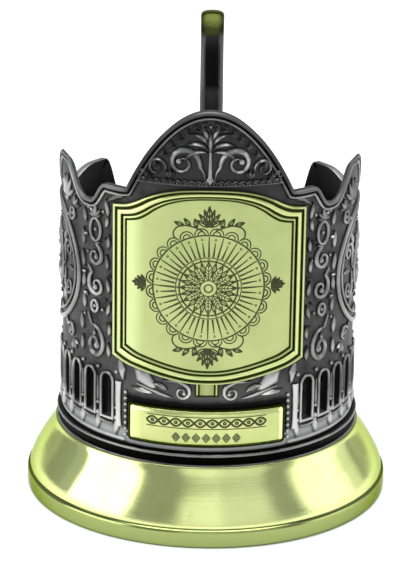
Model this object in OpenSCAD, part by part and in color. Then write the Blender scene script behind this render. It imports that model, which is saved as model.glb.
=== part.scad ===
/* [Bore and wall] */
// Inside radius of the sleeve, which takes a tea glass
bore_r = 33.5; // [30:0.5:38]
// Thickness of the cast sleeve wall
wall_t = 1.4; // [1.2:0.1:2.2]
// How far the cast relief stands out of the sleeve
relief_t = 0.8; // [0.5:0.1:1]
// Width of the raised border along the top edge
border_w = 1.5; // [1:0.1:2.5]

/* [Heights above the table] */
// Height of the foot, where the sleeve stands on it
foot_h = 17.3; // [14:0.1:20]
// Height of the level shoulders beside the front crest
shoulder_h = 82.2; // [78:0.1:88]
// Height of the front crest
crest_h = 102; // [94:0.5:108]
// Height of the bottom of the two notches
notch_h = 77.6; // [72:0.1:77.8]
// Height of the two wing tips
wing_h = 85.2; // [82.4:0.1:90]
// Height of the dip in the rim behind each wing
side_rim_h = 72.4; // [71:0.1:74]
// Height of the two low lobes beside the handle
lobe_h = 74.4; // [72:0.1:77]
// Height of the rim at the handle
back_rim_h = 62; // [60:0.1:66]

/* [Foot] */
// Radius of the foot's bottom band
foot_r = 43.6; // [42:0.2:47]
// Height of the foot's bottom band
foot_band_h = 4.4; // [3.5:0.1:5.5]
// Thickness of the spun sheet
foot_t = 1; // [0.8:0.1:1.4]
// Depth of the groove over the band
foot_groove = 0.4; // [0.2:0.1:0.6]

/* [Collar and floor] */
// Height of the collar ring round the bottom of the sleeve
collar_h = 3.3; // [2.6:0.1:3.6]
// Thickness of the collar ring
collar_t = 1.5; // [1.2:0.1:1.8]
// Thickness of the floor disc, which the sleeve stands on
floor_t = 1.4; // [1.2:0.1:1.8]

/* [Arcade] */
// Width of each arched window
slot_w = 3; // [2.4:0.1:3.4]
// Height of the window sill
slot_z0 = 26; // [25:0.1:27]
// Height of the top of each window
slot_z1 = 36.3; // [34:0.1:37.5]
// Width of the raised frame round each window
slot_frame_w = 0.8; // [0.6:0.1:1]

/* [Cartouche plate] */
// Half the width of the plate
plate_half_w = 22; // [20:0.2:23]
// Height of the plate's lower corners
plate_z0 = 42; // [41:0.1:44]
// How far the plate's upper corners are under the level of the shoulders
plate_under = 3.9; // [3.4:0.1:6]
// Rise of the arched top over the corners
plate_rise = 5.7; // [3:0.1:6.5]
// Drop of the bottom under the corners
plate_drop = 4.5; // [3:0.1:5]
// Thickness of the plate
plate_t = 1; // [0.8:0.1:1.4]
// Width of the plate's raised border
plate_border_w = 2.2; // [1.4:0.1:3]
// Height of that border over the plate
plate_border_t = 0.5; // [0.3:0.1:0.8]
// Half the width of the tab under the plate
tab_half_w = 2.8; // [2:0.1:3.4]
// Height of the tab's lower end
tab_z0 = 34.4; // [33:0.1:36]

/* [Name plate] */
// Half the width of the name plate
name_half_w = 18.2; // [16:0.1:19]
// Height of the name plate's lower edge
name_z0 = 21.8; // [21.4:0.1:22.4]
// Height of the name plate's upper edge
name_z1 = 31.2; // [30:0.1:32]
// Thickness of the name plate
name_t = 1.4; // [1:0.1:1.8]
// Width and height of the step round its edge
name_step = 0.7; // [0.4:0.1:0.9]

/* [Handle] */
// Thickness of the handle, across
handle_w = 6; // [5:0.2:8]
// Depth of the handle's bar
handle_bar = 4.6; // [3.6:0.1:5.6]
// How far the handle reaches from the sleeve's axis
handle_reach = 64; // [58:0.5:68]
// Height of the thumb rest's tip
handle_h = 103; // [96:0.5:108]
// Height of the loop's top, at the middle of the bar
loop_z1 = 84; // [78:0.5:88]
// Height of the middle of the upper pad
upper_pad_z = 54.5; // [52:0.1:55.5]
// Height of the middle of the lower pad
lower_pad_z = 28.5; // [27:0.1:31]
// Half the width of the two pads
pad_half_w = 6.5; // [5.5:0.1:7.5]
// Height of each pad
pad_h = 11; // [9:0.1:12]
// Thickness of each pad
pad_t = 1.6; // [1.2:0.1:2.2]

/* [Fasteners] */
// Radius of the handle's rivets
rivet_r = 1.25; // [1:0.05:1.5]
// Radius of the rivets' domed heads
rivet_head_r = 1.9; // [1.7:0.05:2.2]
// Radius of the plates' pins
pin_r = 0.8; // [0.6:0.05:1]
// Radius of the foot screw
screw_r = 2; // [1.5:0.1:2.5]
// Radius of the screw's head
screw_head_r = 3.8; // [3.4:0.1:4.4]
// Height of the screw's head
screw_head_t = 0.8; // [0.6:0.1:0.9]
// Height of the nut
nut_h = 3.2; // [2.6:0.1:4]
// Radius of the nut, over its corners
nut_r = 4.05; // [3.6:0.05:5]
// Radius of the washer
washer_r = 6; // [5:0.1:8]
// Thickness of the washer
washer_t = 0.8; // [0.6:0.1:1.2]

/* [Hidden] */
// Clearance between pieces that fit together, and the overrun of cuts
fit_gap = 0.05;
cut = 1;
// How deep relief is rooted in the wall
root = 0.3;
round_fn = 96;
bead_fn = 24;
// Radii that the pieces share
wall_r = bore_r + wall_t;
relief_r = wall_r + relief_t;
plate_in_r = wall_r + fit_gap;
floor_z = foot_h + floor_t;
plate_z1 = shoulder_h - plate_under;
brass = [0.80, 0.78, 0.50];
dark = [0.36, 0.36, 0.36];

// Angles round the sleeve, from the front
dome_a = 33;
shoulder_a = 43;
notch_a = 51;
notch_end_a = 54;
wing_a = 70;
wing_end_a = 76;
side_rim_a = 104;
lobe_a = 124;
lobe_end_a = 131;
back_rim_a = 141;
first_slot_a = 41.5;
slot_pitch_a = 9.5;
slots_a_side = 13;
scroll_a = 48;
medal_a = 90;
back_scroll_a = 122;
rim_steps = 90;

// Height of the sleeve's top edge at angle a: an arched crest, then eased steps between the named heights
function ease(u) = (1 - cos(180 * u)) / 2;
function step_up(a, a0, a1, z0, z1) = z0 + (z1 - z0) * ease((a - a0) / (a1 - a0));
function rim_z(a) =
    a < dome_a ? shoulder_h + (crest_h - shoulder_h) * (1 - pow(a / dome_a, 2)) :
    a < shoulder_a ? shoulder_h :
    a < notch_a ? step_up(a, shoulder_a, notch_a, shoulder_h, notch_h) :
    a < notch_end_a ? notch_h :
    a < wing_a ? step_up(a, notch_end_a, wing_a, notch_h, wing_h) :
    a < wing_end_a ? wing_h :
    a < side_rim_a ? step_up(a, wing_end_a, side_rim_a, wing_h, side_rim_h) :
    a < lobe_a ? step_up(a, side_rim_a, lobe_a, side_rim_h, lobe_h) :
    a < lobe_end_a ? lobe_h :
    a < back_rim_a ? step_up(a, lobe_end_a, back_rim_a, lobe_h, back_rim_h) :
    back_rim_h;

// Ring between two radii and two heights
module ring(r0, r1, z0, z1) {
    difference() {
        translate([0, 0, z0]) cylinder(r = r1, h = z1 - z0, $fn = round_fn);
        translate([0, 0, z0 - cut]) cylinder(r = r0, h = z1 - z0 + 2 * cut, $fn = round_fn);
    }
}

// Everything over the top edge, lowered by down: a closed ring of wedges with flat sides
module over_rim(down) {
    r0 = bore_r - 2 * cut;
    r1 = relief_r + 2 * cut;
    top = crest_h + 2 * cut;
    function at(i, r, z) = let (a = 360 * i / rim_steps - 180) [r * sin(a), -r * cos(a), z];
    function low(i) = rim_z(abs(360 * i / rim_steps - 180)) - down;
    points = [for (i = [0 : rim_steps - 1], k = [0 : 3])
        at(i, k < 2 ? r0 : r1, k == 0 || k == 3 ? low(i) : top)];
    faces = [for (i = [0 : rim_steps - 1], k = [0 : 3], half = [0, 1])
        let (p = 4 * i, q = 4 * ((i + 1) % rim_steps), m = (k + 1) % 4)
        half == 0 ? [p + k, q + k, p + m] : [q + k, q + m, p + m]];
    polyhedron(points, faces);
}

// Moves a small flat shape on to the wall at angle a and height z, and gives it relief
module on_wall(a, z) {
    rotate([0, 0, a]) translate([0, -wall_r + 2 * root, z]) rotate([90, 0, 0])
        linear_extrude(height = relief_t + 2 * root) children();
}

// A flat volute: an open ring with an eye, whose gap faces up and to one side
module volute(r, w, side = 1) {
    difference() {
        circle(r = r, $fn = bead_fn);
        circle(r = r - w, $fn = bead_fn);
        rotate(side * 35) translate([-w / 2, 0]) square([w, 2 * r]);
    }
    circle(r = (r - w) * 0.45, $fn = bead_fn);
}

// A pointed leaf from the origin, up along Y: where two circles overlap
module leaf(long, wide) {
    r = (pow(long, 2) + pow(wide, 2)) / (4 * wide);
    intersection_for(s = [-1, 1]) translate([s * (r - wide / 2), long / 2]) circle(r = r, $fn = round_fn);
}

// Flat round ring
module hoop(r, w) {
    difference() {
        circle(r = r, $fn = round_fn);
        circle(r = r - w, $fn = round_fn);
    }
}

// Flat arch: the outline of a window, grown by m
module arch(m) {
    spring = slot_z1 - slot_w / 2;
    translate([-slot_w / 2 - m, slot_z0 - m]) square([slot_w + 2 * m, spring - slot_z0 + m]);
    translate([0, spring]) circle(r = slot_w / 2 + m, $fn = bead_fn);
}

module foot() {
    neck_r = wall_r + collar_t + fit_gap;
    flare = foot_r - neck_r;
    tall = foot_h - foot_band_h;
    edge = foot_groove;
    // Shares of the flare's width and of its height over the band, from the band up
    flare_shares = [[0.93, 0.03], [0.90, 0.10], [0.82, 0.22], [0.69, 0.36], [0.53, 0.52], [0.36, 0.67], [0.20, 0.80],
        [0.08, 0.91], [0, 1]];
    outer = concat([[foot_r - edge, 0], [foot_r, edge], [foot_r, foot_band_h - edge], [foot_r - edge, foot_band_h]],
        [for (s = flare_shares) [neck_r + flare * s[0], foot_band_h + tall * s[1]]]);
    inner = concat([[neck_r - foot_t, foot_h - foot_t]],
        [for (i = [len(flare_shares) - 2 : -1 : 0])
            [neck_r + flare * flare_shares[i][0] - foot_t, foot_band_h + tall * flare_shares[i][1] - foot_t / 2]],
        [[foot_r - edge - foot_t, foot_band_h / 2], [foot_r - edge - foot_t, 0]]);
    color(brass) rotate_extrude($fn = round_fn)
        polygon(concat(outer, [[screw_r + fit_gap, foot_h], [screw_r + fit_gap, foot_h - foot_t]], inner));
}

module collar_ring() {
    inner = wall_r + fit_gap;
    outer = inner + collar_t;
    bead = collar_h / 3;
    bead_z = foot_h + collar_h - bead * 0.7;
    color(dark) rotate_extrude($fn = round_fn) union() {
        translate([inner, foot_h]) square([collar_t * 0.6, collar_h]);
        translate([inner, foot_h]) square([collar_t * 0.9, bead / 2]);
        translate([outer - bead / 2, bead_z]) circle(r = bead / 2, $fn = bead_fn);
        translate([inner, bead_z - bead / 2]) square([collar_t - bead / 2, bead]);
    }
}

// Angle that a distance across takes up on the wall
function turn(x) = x * 180 / (PI * wall_r);

// Relief inside the front crest: a palmette over two pairs of volutes
module crest_relief() {
    tall = crest_h - shoulder_h;
    base = shoulder_h + tall * 0.22;
    on_wall(0, base + tall * 0.22) for (a = [-70, -35, 0, 35, 70])
        rotate(a) leaf(tall * (0.36 - abs(a) / 500), tall * 0.12);
    for (s = [-1, 1]) {
        on_wall(s * turn(tall * 0.36), base + tall * 0.14) volute(tall * 0.14, tall * 0.05, s);
        on_wall(s * turn(tall * 0.62), base + tall * 0.06) volute(tall * 0.09, tall * 0.04, -s);
    }
}

// Upright chain of volutes between two heights, at angle a
module scroll_chain(a, z0, z1, s) {
    tall = z1 - z0;
    r = tall * 0.115;
    on_wall(a, z0 + r) volute(r, r * 0.34, s);
    on_wall(a + s * turn(r * 0.4), z0 + tall * 0.34) volute(r * 0.8, r * 0.3, -s);
    on_wall(a - s * turn(r * 0.1), z0 + tall * 0.57) volute(r * 0.9, r * 0.3, s);
    on_wall(a, z0 + tall * 0.68) rotate(s * 12) leaf(r * 2.2, r * 0.9);
}

// Round medallion with an eight-leaved rosette, bent to the wall at angle a and height z
module medallion(a, z, r) {
    y0 = sqrt(pow(wall_r - root, 2) - pow(r, 2)) - root;
    intersection() {
        rotate([0, 0, a]) translate([0, -y0, z]) rotate([90, 0, 0]) linear_extrude(height = relief_r + cut - y0) {
            hoop(r, border_w * 0.8);
            for (b = [0 : 45 : 315]) rotate(b) translate([0, r * 0.2]) leaf(r * 0.5, r * 0.22);
            circle(r = r * 0.12, $fn = bead_fn);
        }
        ring(wall_r - root, relief_r, z - r - cut, z + r + cut);
    }
}

module wall_relief() {
    chain_z0 = slot_z1 + slot_frame_w + border_w;
    chain_z1 = notch_h - border_w;
    medal_z = (plate_z0 + plate_z1) / 2 - border_w;
    medal_r = (plate_z1 - plate_z0) / 2 - 3 * border_w;
    crest_relief();
    for (i = [0 : slots_a_side - 1], s = [-1, 1])
        on_wall(s * (first_slot_a + i * slot_pitch_a), 0) arch(slot_frame_w);
    for (s = [-1, 1]) {
        scroll_chain(s * scroll_a, chain_z0, chain_z1, s);
        scroll_chain(s * back_scroll_a, chain_z0, side_rim_h - border_w, -s);
        medallion(s * medal_a, medal_z, medal_r);
    }
    // Level band under the windows, which stops at the name plate
    difference() {
        ring(wall_r - root, wall_r + relief_t / 2, slot_z0 - slot_frame_w - border_w, slot_z0 - slot_frame_w - border_w / 2);
        to_front() translate([-name_half_w - fit_gap, name_z0]) square([2 * (name_half_w + fit_gap), name_z1 - name_z0]);
    }
}

// Where the pins of the two plates go, as [angle, height]
cartouche_pin_places = [for (s = [-1, 1], z = [plate_z0 + 3 * pin_r, plate_z1 - 3 * pin_r])
    [s * asin((plate_half_w - 3 * pin_r) / wall_r), z]];
name_pin_places = [for (s = [-1, 1]) [s * asin((name_half_w - 5 * pin_r) / wall_r), (name_z0 + name_z1) / 2]];
// Where the handle's rivets go, from the back, as [across, height]
rivet_across = pad_half_w - 1.1 * rivet_head_r;
rivet_places = [for (s = [-1, 1], z = [upper_pad_z, lower_pad_z]) [s * rivet_across, z]];

// Round bars along the radius at each place
module radial_bars(places, r, r0, r1) {
    for (p = places) rotate([0, 0, p[0]]) translate([0, -r0, p[1]]) rotate([90, 0, 0])
        cylinder(r = r, h = r1 - r0, $fn = bead_fn);
}

// Round bars towards the back, straight along Y
module back_bars(r, y0, y1) {
    for (p = rivet_places) translate([p[0], y0, p[1]]) rotate([-90, 0, 0]) cylinder(r = r, h = y1 - y0, $fn = bead_fn);
}

module sleeve() {
    color(dark) difference() {
        union() {
            ring(bore_r, wall_r, floor_z, crest_h + cut);
            wall_relief();
            intersection() {
                ring(wall_r - root, relief_r, back_rim_h - 3 * border_w, crest_h + cut);
                over_rim(border_w);
            }
        }
        over_rim(0);
        for (i = [0 : slots_a_side - 1], s = [-1, 1])
            rotate([0, 0, s * (first_slot_a + i * slot_pitch_a)]) translate([0, -bore_r + 2 * cut, 0]) rotate([90, 0, 0])
                linear_extrude(height = wall_t + relief_t + 3 * cut) arch(0);
        radial_bars(cartouche_pin_places, pin_r + fit_gap, bore_r - cut, relief_r + cut);
        radial_bars(name_pin_places, pin_r + fit_gap, bore_r - cut, relief_r + cut);
        back_bars(rivet_r + fit_gap, bore_r / 2, relief_r + cut);
        pad_space(fit_gap);
    }
}

// The room that the handle's two pads take over the wall
module pad_space(gap) {
    for (z = [upper_pad_z, lower_pad_z]) intersection() {
        ring(wall_r + fit_gap - gap, wall_r + pad_t + fit_gap, z - pad_h / 2 - gap, z + pad_h / 2 + gap);
        translate([-pad_half_w - gap, 0, z - pad_h]) cube([2 * (pad_half_w + gap), wall_r + 2 * pad_t, 2 * pad_h]);
    }
}

module floor_disc() {
    color(brass) difference() {
        translate([0, 0, foot_h]) cylinder(r = wall_r, h = floor_t, $fn = round_fn);
        translate([0, 0, foot_h - cut]) cylinder(r = screw_r + fit_gap, h = floor_t + 2 * cut, $fn = bead_fn);
        translate([0, 0, floor_z - screw_head_t]) cylinder(r = screw_head_r + fit_gap, h = screw_head_t + cut, $fn = round_fn);
    }
}

module foot_screw() {
    tail = foot_h - foot_t - washer_t - nut_h - screw_r;
    color(brass) difference() {
        union() {
            translate([0, 0, floor_z - screw_head_t]) cylinder(r = screw_head_r, h = screw_head_t, $fn = bead_fn);
            translate([0, 0, tail]) cylinder(r = screw_r, h = floor_z - screw_head_t - tail, $fn = bead_fn);
        }
        translate([-screw_head_r - cut, -screw_r / 5, floor_z - screw_head_t / 2])
            cube([2 * (screw_head_r + cut), screw_r * 2 / 5, screw_head_t]);
    }
}

module foot_washer() {
    color(brass) ring(screw_r + fit_gap, washer_r, foot_h - foot_t - washer_t, foot_h - foot_t);
}

module foot_nut() {
    top = foot_h - foot_t - washer_t;
    color(brass) difference() {
        translate([0, 0, top - nut_h]) cylinder(r = nut_r, h = nut_h, $fn = 6);
        translate([0, 0, top - nut_h - cut]) cylinder(r = screw_r + fit_gap, h = nut_h + 2 * cut, $fn = bead_fn);
    }
}

// Outline of the plate, drawn in by m: level corners, an arched top and a curved bottom
module plate_outline(m) {
    // Shares of the half width, and of the rise at the top and of the drop at the bottom
    top_shares = [[1, 0], [0.92, 0.05], [0.84, 0.13], [0.75, 0.30], [0.64, 0.55], [0.5, 0.77], [0.33, 0.92], [0.15, 0.985], [0, 1]];
    low_shares = [[0, 1], [0.15, 0.98], [0.3, 0.90], [0.5, 0.73], [0.7, 0.52], [0.85, 0.34], [0.95, 0.13], [1, 0]];
    half = plate_half_w - m;
    upper = [for (p = top_shares) [half * p[0], plate_z1 - m + plate_rise * p[1]]];
    lower = [for (p = low_shares) [half * p[0], plate_z0 + m - plate_drop * p[1]]];
    polygon(concat(upper, [for (i = [len(upper) - 2 : -1 : 0]) [-upper[i][0], upper[i][1]]],
        [for (i = [len(lower) - 1 : -1 : 1]) [-lower[i][0], lower[i][1]]], lower));
}

// Moves a flat shape to the front and gives it depth, for what is bent round the sleeve
module to_front() {
    rotate([90, 0, 0]) linear_extrude(height = wall_r + 5 * plate_t) children();
}

module cartouche_plate() {
    face_r = plate_in_r + plate_t;
    top = plate_z1 + plate_rise + cut;
    color(brass) union() {
        intersection() {
            ring(plate_in_r, face_r, tab_z0 - cut, top);
            to_front() union() {
                plate_outline(0);
                translate([-tab_half_w, tab_z0]) square([2 * tab_half_w, plate_z0 - tab_z0]);
            }
        }
        intersection() {
            ring(plate_in_r + plate_t / 2, face_r + plate_border_t, tab_z0 - cut, top);
            to_front() difference() {
                plate_outline(0);
                plate_outline(plate_border_w);
            }
        }
    }
}

module name_plate() {
    face_r = plate_in_r + name_t;
    tall = name_z1 - name_z0;
    color(brass) union() {
        intersection() {
            ring(plate_in_r, face_r - name_step / 2, name_z0 - cut, name_z1 + cut);
            to_front() translate([-name_half_w, name_z0]) square([2 * name_half_w, tall]);
        }
        intersection() {
            ring(plate_in_r + name_t / 2, face_r, name_z0 - cut, name_z1 + cut);
            to_front() translate([-name_half_w + name_step, name_z0 + name_step])
                square([2 * (name_half_w - name_step), tall - 2 * name_step]);
        }
    }
}

module cartouche_pins() {
    color(brass) radial_bars(cartouche_pin_places, pin_r, bore_r + fit_gap, wall_r);
}

module name_plate_pins() {
    color(brass) radial_bars(name_pin_places, pin_r, bore_r + fit_gap, wall_r);
}

// The middle line of the handle's loop, from the upper pad over the top to the lower pad, as [out, up] from the wall
loop_shares = [[0, 0.52], [0.04, 0.60], [0.08, 0.72], [0.16, 0.85], [0.30, 0.95], [0.48, 1], [0.66, 0.98], [0.80, 0.91],
    [0.89, 0.80], [0.92, 0.66], [0.91, 0.52], [0.87, 0.38], [0.79, 0.25], [0.68, 0.14], [0.53, 0.06], [0.34, 0.01], [0.15, 0], [0, 0]];
// The thumb rest's two edges, as shares of its reach and of its height over the loop
thumb_shares = [[0.30, -0.10], [0.40, 0.16], [0.46, 0.40], [0.52, 0.62], [0.66, 0.82], [0.86, 0.94], [1, 1],
    [1.04, 0.93], [0.94, 0.80], [0.80, 0.66], [0.72, 0.48], [0.68, 0.28], [0.72, 0.04], [0.6, -0.12]];

// Outline of the handle seen from its side, drawn in by m
module handle_outline(m) {
    reach = handle_reach - wall_r;
    path = [for (s = loop_shares) [wall_r + reach * s[0], lower_pad_z + (loop_z1 - lower_pad_z) * s[1]]];
    last = len(path) - 1;
    function along(i) = let (d = path[min(i + 1, last)] - path[max(i - 1, 0)]) d / norm(d);
    function beside(i, s) = let (d = along(i), w = (handle_bar - 2 * m) / 2) path[i] + s * w * [-d[1], d[0]];
    polygon(concat([for (i = [0 : last]) beside(i, 1)], [for (i = [last : -1 : 0]) beside(i, -1)]));
    offset_point = [wall_r + reach * 0.62, loop_z1 + (handle_h - loop_z1) * 0.4];
    function drawn(p) = let (d = offset_point - p) p + m * d / norm(d);
    polygon([for (s = thumb_shares)
        drawn([wall_r + reach * s[0], loop_z1 + (handle_h - loop_z1) * s[1]])]);
}

module handle() {
    bevel = handle_w / 6;
    color(dark) difference() {
        union() {
            intersection() {
                union() {
                    translate([-handle_w / 2 + bevel, 0, 0]) side_slab(handle_w - 2 * bevel) handle_outline(0);
                    translate([-handle_w / 2, 0, 0]) side_slab(handle_w) handle_outline(bevel * 0.7);
                }
                difference() {
                    translate([-handle_w, 0, 0]) cube([2 * handle_w, 2 * handle_reach, 2 * handle_h]);
                    translate([0, 0, -cut]) cylinder(r = wall_r + fit_gap + pad_t / 2, h = 2 * handle_h, $fn = round_fn);
                }
            }
            pad_space(0);
        }
        back_bars(rivet_r + fit_gap, bore_r / 2, handle_reach);
    }
}

// A slab whose outline is drawn as [out, up]
module side_slab(w) {
    rotate([90, 0, 90]) linear_extrude(height = w) children();
}

module handle_rivets() {
    pad_face = sqrt(pow(wall_r + fit_gap + pad_t, 2) - pow(rivet_across, 2));
    in_face = sqrt(pow(bore_r, 2) - pow(rivet_across - rivet_r, 2)) + fit_gap;
    dome_r = rivet_head_r * 1.15;
    color(dark) union() {
        back_bars(rivet_r, in_face, pad_face + fit_gap + relief_t / 2);
        intersection() {
            back_bars(rivet_head_r, pad_face + fit_gap, pad_face + 2 * rivet_head_r);
            for (p = rivet_places) translate([p[0], pad_face + relief_t + fit_gap - dome_r / 2, p[1]]) sphere(r = dome_r, $fn = round_fn);
        }
    }
}

foot();
collar_ring();
sleeve();
floor_disc();
foot_screw();
foot_washer();
foot_nut();
cartouche_plate();
cartouche_pins();
name_plate();
name_plate_pins();
handle();
handle_rivets();
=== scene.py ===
import math

import bmesh
import bpy
import mathutils
import numpy as np
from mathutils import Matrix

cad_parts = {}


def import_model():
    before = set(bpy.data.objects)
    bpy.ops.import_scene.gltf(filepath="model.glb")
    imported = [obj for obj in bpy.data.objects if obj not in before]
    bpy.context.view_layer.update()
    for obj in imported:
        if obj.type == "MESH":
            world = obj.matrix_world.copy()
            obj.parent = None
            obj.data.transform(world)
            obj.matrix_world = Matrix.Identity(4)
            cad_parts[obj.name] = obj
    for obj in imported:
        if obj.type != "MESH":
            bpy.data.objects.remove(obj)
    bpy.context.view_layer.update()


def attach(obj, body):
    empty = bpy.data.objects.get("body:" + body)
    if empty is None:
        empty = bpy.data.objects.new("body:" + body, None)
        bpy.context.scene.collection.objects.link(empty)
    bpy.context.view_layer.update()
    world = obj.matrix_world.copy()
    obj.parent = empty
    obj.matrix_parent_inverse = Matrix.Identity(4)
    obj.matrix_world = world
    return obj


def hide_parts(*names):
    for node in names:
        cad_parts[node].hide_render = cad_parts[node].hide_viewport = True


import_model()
millimetre = 0.001

# sizes in millimetres, the same as in the part's source, and half the crest's width in degrees
holder = {
    "boreR": 33.5, "wallR": 34.9, "plateBackR": 34.97, "sleeveFoot": 18.7, "crestHalf": 33.0,
    "crestH": 102.0, "shoulderH": 82.2, "notchH": 77.6, "wingH": 85.2, "sideRimH": 72.4, "lobeH": 74.4,
    "backRimH": 62.0,
}
# the rim's steps: degrees from the front, and the height there
rimSteps = [
    (33, "shoulderH"), (43, "shoulderH"), (51, "notchH"), (54, "notchH"), (70, "wingH"), (76, "wingH"),
    (104, "sideRimH"), (124, "lobeH"), (131, "lobeH"), (141, "backRimH"),
]


class Surface:
    # Gathers grids of points in millimetres and makes one mesh of them
    def __init__(self):
        self.points, self.quads, self.values, self.count = [], [], [], 0

    def grid(self, p, loopRows=False, loopCols=False, value=0.0):
        p = np.asarray(p, float)
        rows, cols = p.shape[:2]
        index = np.arange(rows * cols).reshape(rows, cols) + self.count
        index = np.vstack([index, index[:1]]) if loopRows else index
        index = np.hstack([index, index[:, :1]]) if loopCols else index
        quads = np.stack([index[:-1, :-1], index[:-1, 1:], index[1:, 1:], index[1:, :-1]], -1)
        self.points.append(p.reshape(-1, 3))
        self.quads.append(quads.reshape(-1, 4))
        self.values.append(np.broadcast_to(np.asarray(value, float), (rows, cols)).reshape(-1))
        self.count += rows * cols

    def piece(self, name, material, slot, replaces=(), sharp=38.0, attribute=None):
        points = np.concatenate(self.points) * millimetre
        quads = np.concatenate(self.quads)
        mesh = bpy.data.meshes.new(name)
        mesh.vertices.add(len(points))
        mesh.vertices.foreach_set("co", points.ravel())
        mesh.loops.add(quads.size)
        mesh.loops.foreach_set("vertex_index", quads.ravel())
        mesh.polygons.add(len(quads))
        mesh.polygons.foreach_set("loop_start", np.arange(len(quads)) * 4)
        mesh.update(calc_edges=True)
        if attribute:
            layer = mesh.attributes.new(attribute, "FLOAT", "POINT")
            layer.data.foreach_set("value", np.concatenate(self.values))
        work = bmesh.new()
        work.from_mesh(mesh)
        bmesh.ops.remove_doubles(work, verts=work.verts, dist=2e-7)
        bmesh.ops.dissolve_degenerate(work, edges=work.edges, dist=1e-7)
        bmesh.ops.recalc_face_normals(work, faces=work.faces)
        work.to_mesh(mesh)
        work.free()
        mesh.validate()
        mesh.shade_smooth()
        mesh.set_sharp_from_angle(angle=math.radians(sharp))
        mesh.materials.append(material)
        piece = bpy.data.objects.new(name, mesh)
        bpy.context.scene.collection.objects.link(piece)
        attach(piece, "root")
        if replaces:
            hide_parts(*replaces)
        print(f"{name}: {sum(len(p.vertices) - 2 for p in mesh.polygons)} triangles")


def bend(s, z, r):
    # A place s across and z up, bent round the sleeve: angle s / wallR from the front, at radius r
    a, z, r = np.broadcast_arrays(np.asarray(s) / holder["wallR"], z, r)
    return np.stack([r * np.sin(a), -r * np.cos(a), z], -1)


def flatAcross(x, z, r):
    # A place x across and z up on the front, carried straight back on to radius r
    x, z, r = np.broadcast_arrays(x, z, r)
    return np.stack([x, -np.sqrt(r**2 - x**2), z], -1)


def fromFront(angle):
    # Degrees from the front, the same on both sides
    return np.abs((np.asarray(angle, float) + 180) % 360 - 180)


def onCircle(count, start=0.0, turn=360.0):
    # Points of a unit circle, evenly from the start angle through the turn, without its end where it closes
    a = np.radians(start + np.linspace(0, turn, count, endpoint=turn < 360.0))
    return np.stack([np.cos(a), np.sin(a)], -1)


def capped(rows):
    # Rows of a tube with both ends closed: the end rows are repeated, drawn in to their middles
    tips = [np.broadcast_to(rows[k].mean(0), rows[k].shape)[None] for k in (0, -1)]
    return np.concatenate([tips[0], rows, tips[1]])


def turned(profile, steps):
    # A profile of (radius, height) carried once round the upright axis
    profile = np.asarray(profile, float)
    a = np.arange(steps) / steps * 2 * math.pi
    r, z = profile[:, 0][None, :], profile[:, 1][None, :]
    return np.stack([r * np.sin(a)[:, None], -r * np.cos(a)[:, None], z + 0 * a[:, None]], -1)


def smoothed(points, steps):
    # A curve through the points: a uniform Catmull-Rom spline, sampled evenly in each span
    p = np.asarray(points, float)
    p = np.vstack([2 * p[0] - p[1], p, 2 * p[-1] - p[-2]])
    t = (np.arange(steps) / steps)[:, None]
    a, b, c, d = p[:-3, None], p[1:-2, None], p[2:-1, None], p[3:, None]
    span = 0.5 * (2 * b + (c - a) * t + (2 * a - 5 * b + 4 * c - d) * t**2 + (3 * b - a - 3 * c + d) * t**3)
    return np.vstack([span.reshape(-1, p.shape[1]), p[-2:-1]])


def even(path, count):
    # The same path, in count points at equal distances along it
    path = np.asarray(path, float)
    run = np.concatenate([[0], np.cumsum(np.linalg.norm(np.diff(path, axis=0), axis=1))])
    at = np.linspace(0, run[-1], count)
    return np.stack([np.interp(at, run, path[:, k]) for k in range(path.shape[1])], -1)


def beside(path, closed=False):
    # Unit vectors to the left of a flat path
    p = np.asarray(path, float)
    d = (np.roll(p, -1, 0) - np.roll(p, 1, 0)) if closed else np.gradient(p, axis=0)
    d = d / np.maximum(np.linalg.norm(d, axis=1, keepdims=True), 1e-9)
    return np.stack([-d[:, 1], d[:, 0]], -1)


# sections of relief: height over the width, for u from -1 to 1
sections = {
    "round": lambda u: np.sqrt(np.clip(1 - u**2, 0, 1)),
    "reeded": lambda u: np.sqrt(np.clip(1 - u**2, 0, 1)) * (0.72 + 0.28 * np.cos(3 * math.pi * u)),
    "leaf": lambda u: (0.45 + 0.55 * (1 - np.abs(u)) ** 0.7) * (1 - np.abs(u) ** 6)
        + 0.22 * np.exp(-(u * 5) ** 2),
    "flat": lambda u: 1 - np.abs(u) ** 8,
}
sunk = 0.15  # relief starts this far inside the wall


def ribbon(surface, path, half, height, section="round", across=7, baseR=holder["wallR"], sink=sunk,
        closed=False, value=1.0):
    # A band along a flat path: across it by half * u, and out of the wall by height * section(u)
    path = np.asarray(path, float)
    n = len(path)
    half, height = np.broadcast_to(half, n)[:, None], np.broadcast_to(height, n)[:, None]
    u = np.sin(np.linspace(-1, 1, across) * math.pi / 2)[None, :]
    side = beside(path, closed)
    s = path[:, :1] + side[:, :1] * half * u
    z = path[:, 1:] + side[:, 1:] * half * u
    top = bend(s, z, baseR - sink + (height + sink) * sections[section](u))
    low = bend(s[:, [-1, 0]], z[:, [-1, 0]], baseR - 2 * sink)
    body = np.concatenate([top, low], 1)
    surface.grid(body if closed else capped(body), loopRows=closed, loopCols=True, value=value)


def dome(surface, s, z, radius, height, rings=4, steps=12):
    # Half a ball on the wall: radius * sin(e) across and height * cos(e) out, closed underneath
    e = np.linspace(0, math.pi / 2, rings + 1)[:, None]
    a = (np.arange(steps) / steps * 2 * math.pi)[None, :]
    foot = holder["wallR"] - sunk
    r = radius * np.sin(e)
    up = bend(s + r * np.cos(a), z + r * np.sin(a), foot + (height + sunk) * np.cos(e))
    low = bend(s + 0 * a, z + 0 * a, foot - sunk)
    surface.grid(np.concatenate([up, low]), loopCols=True, value=1.0)


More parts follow.
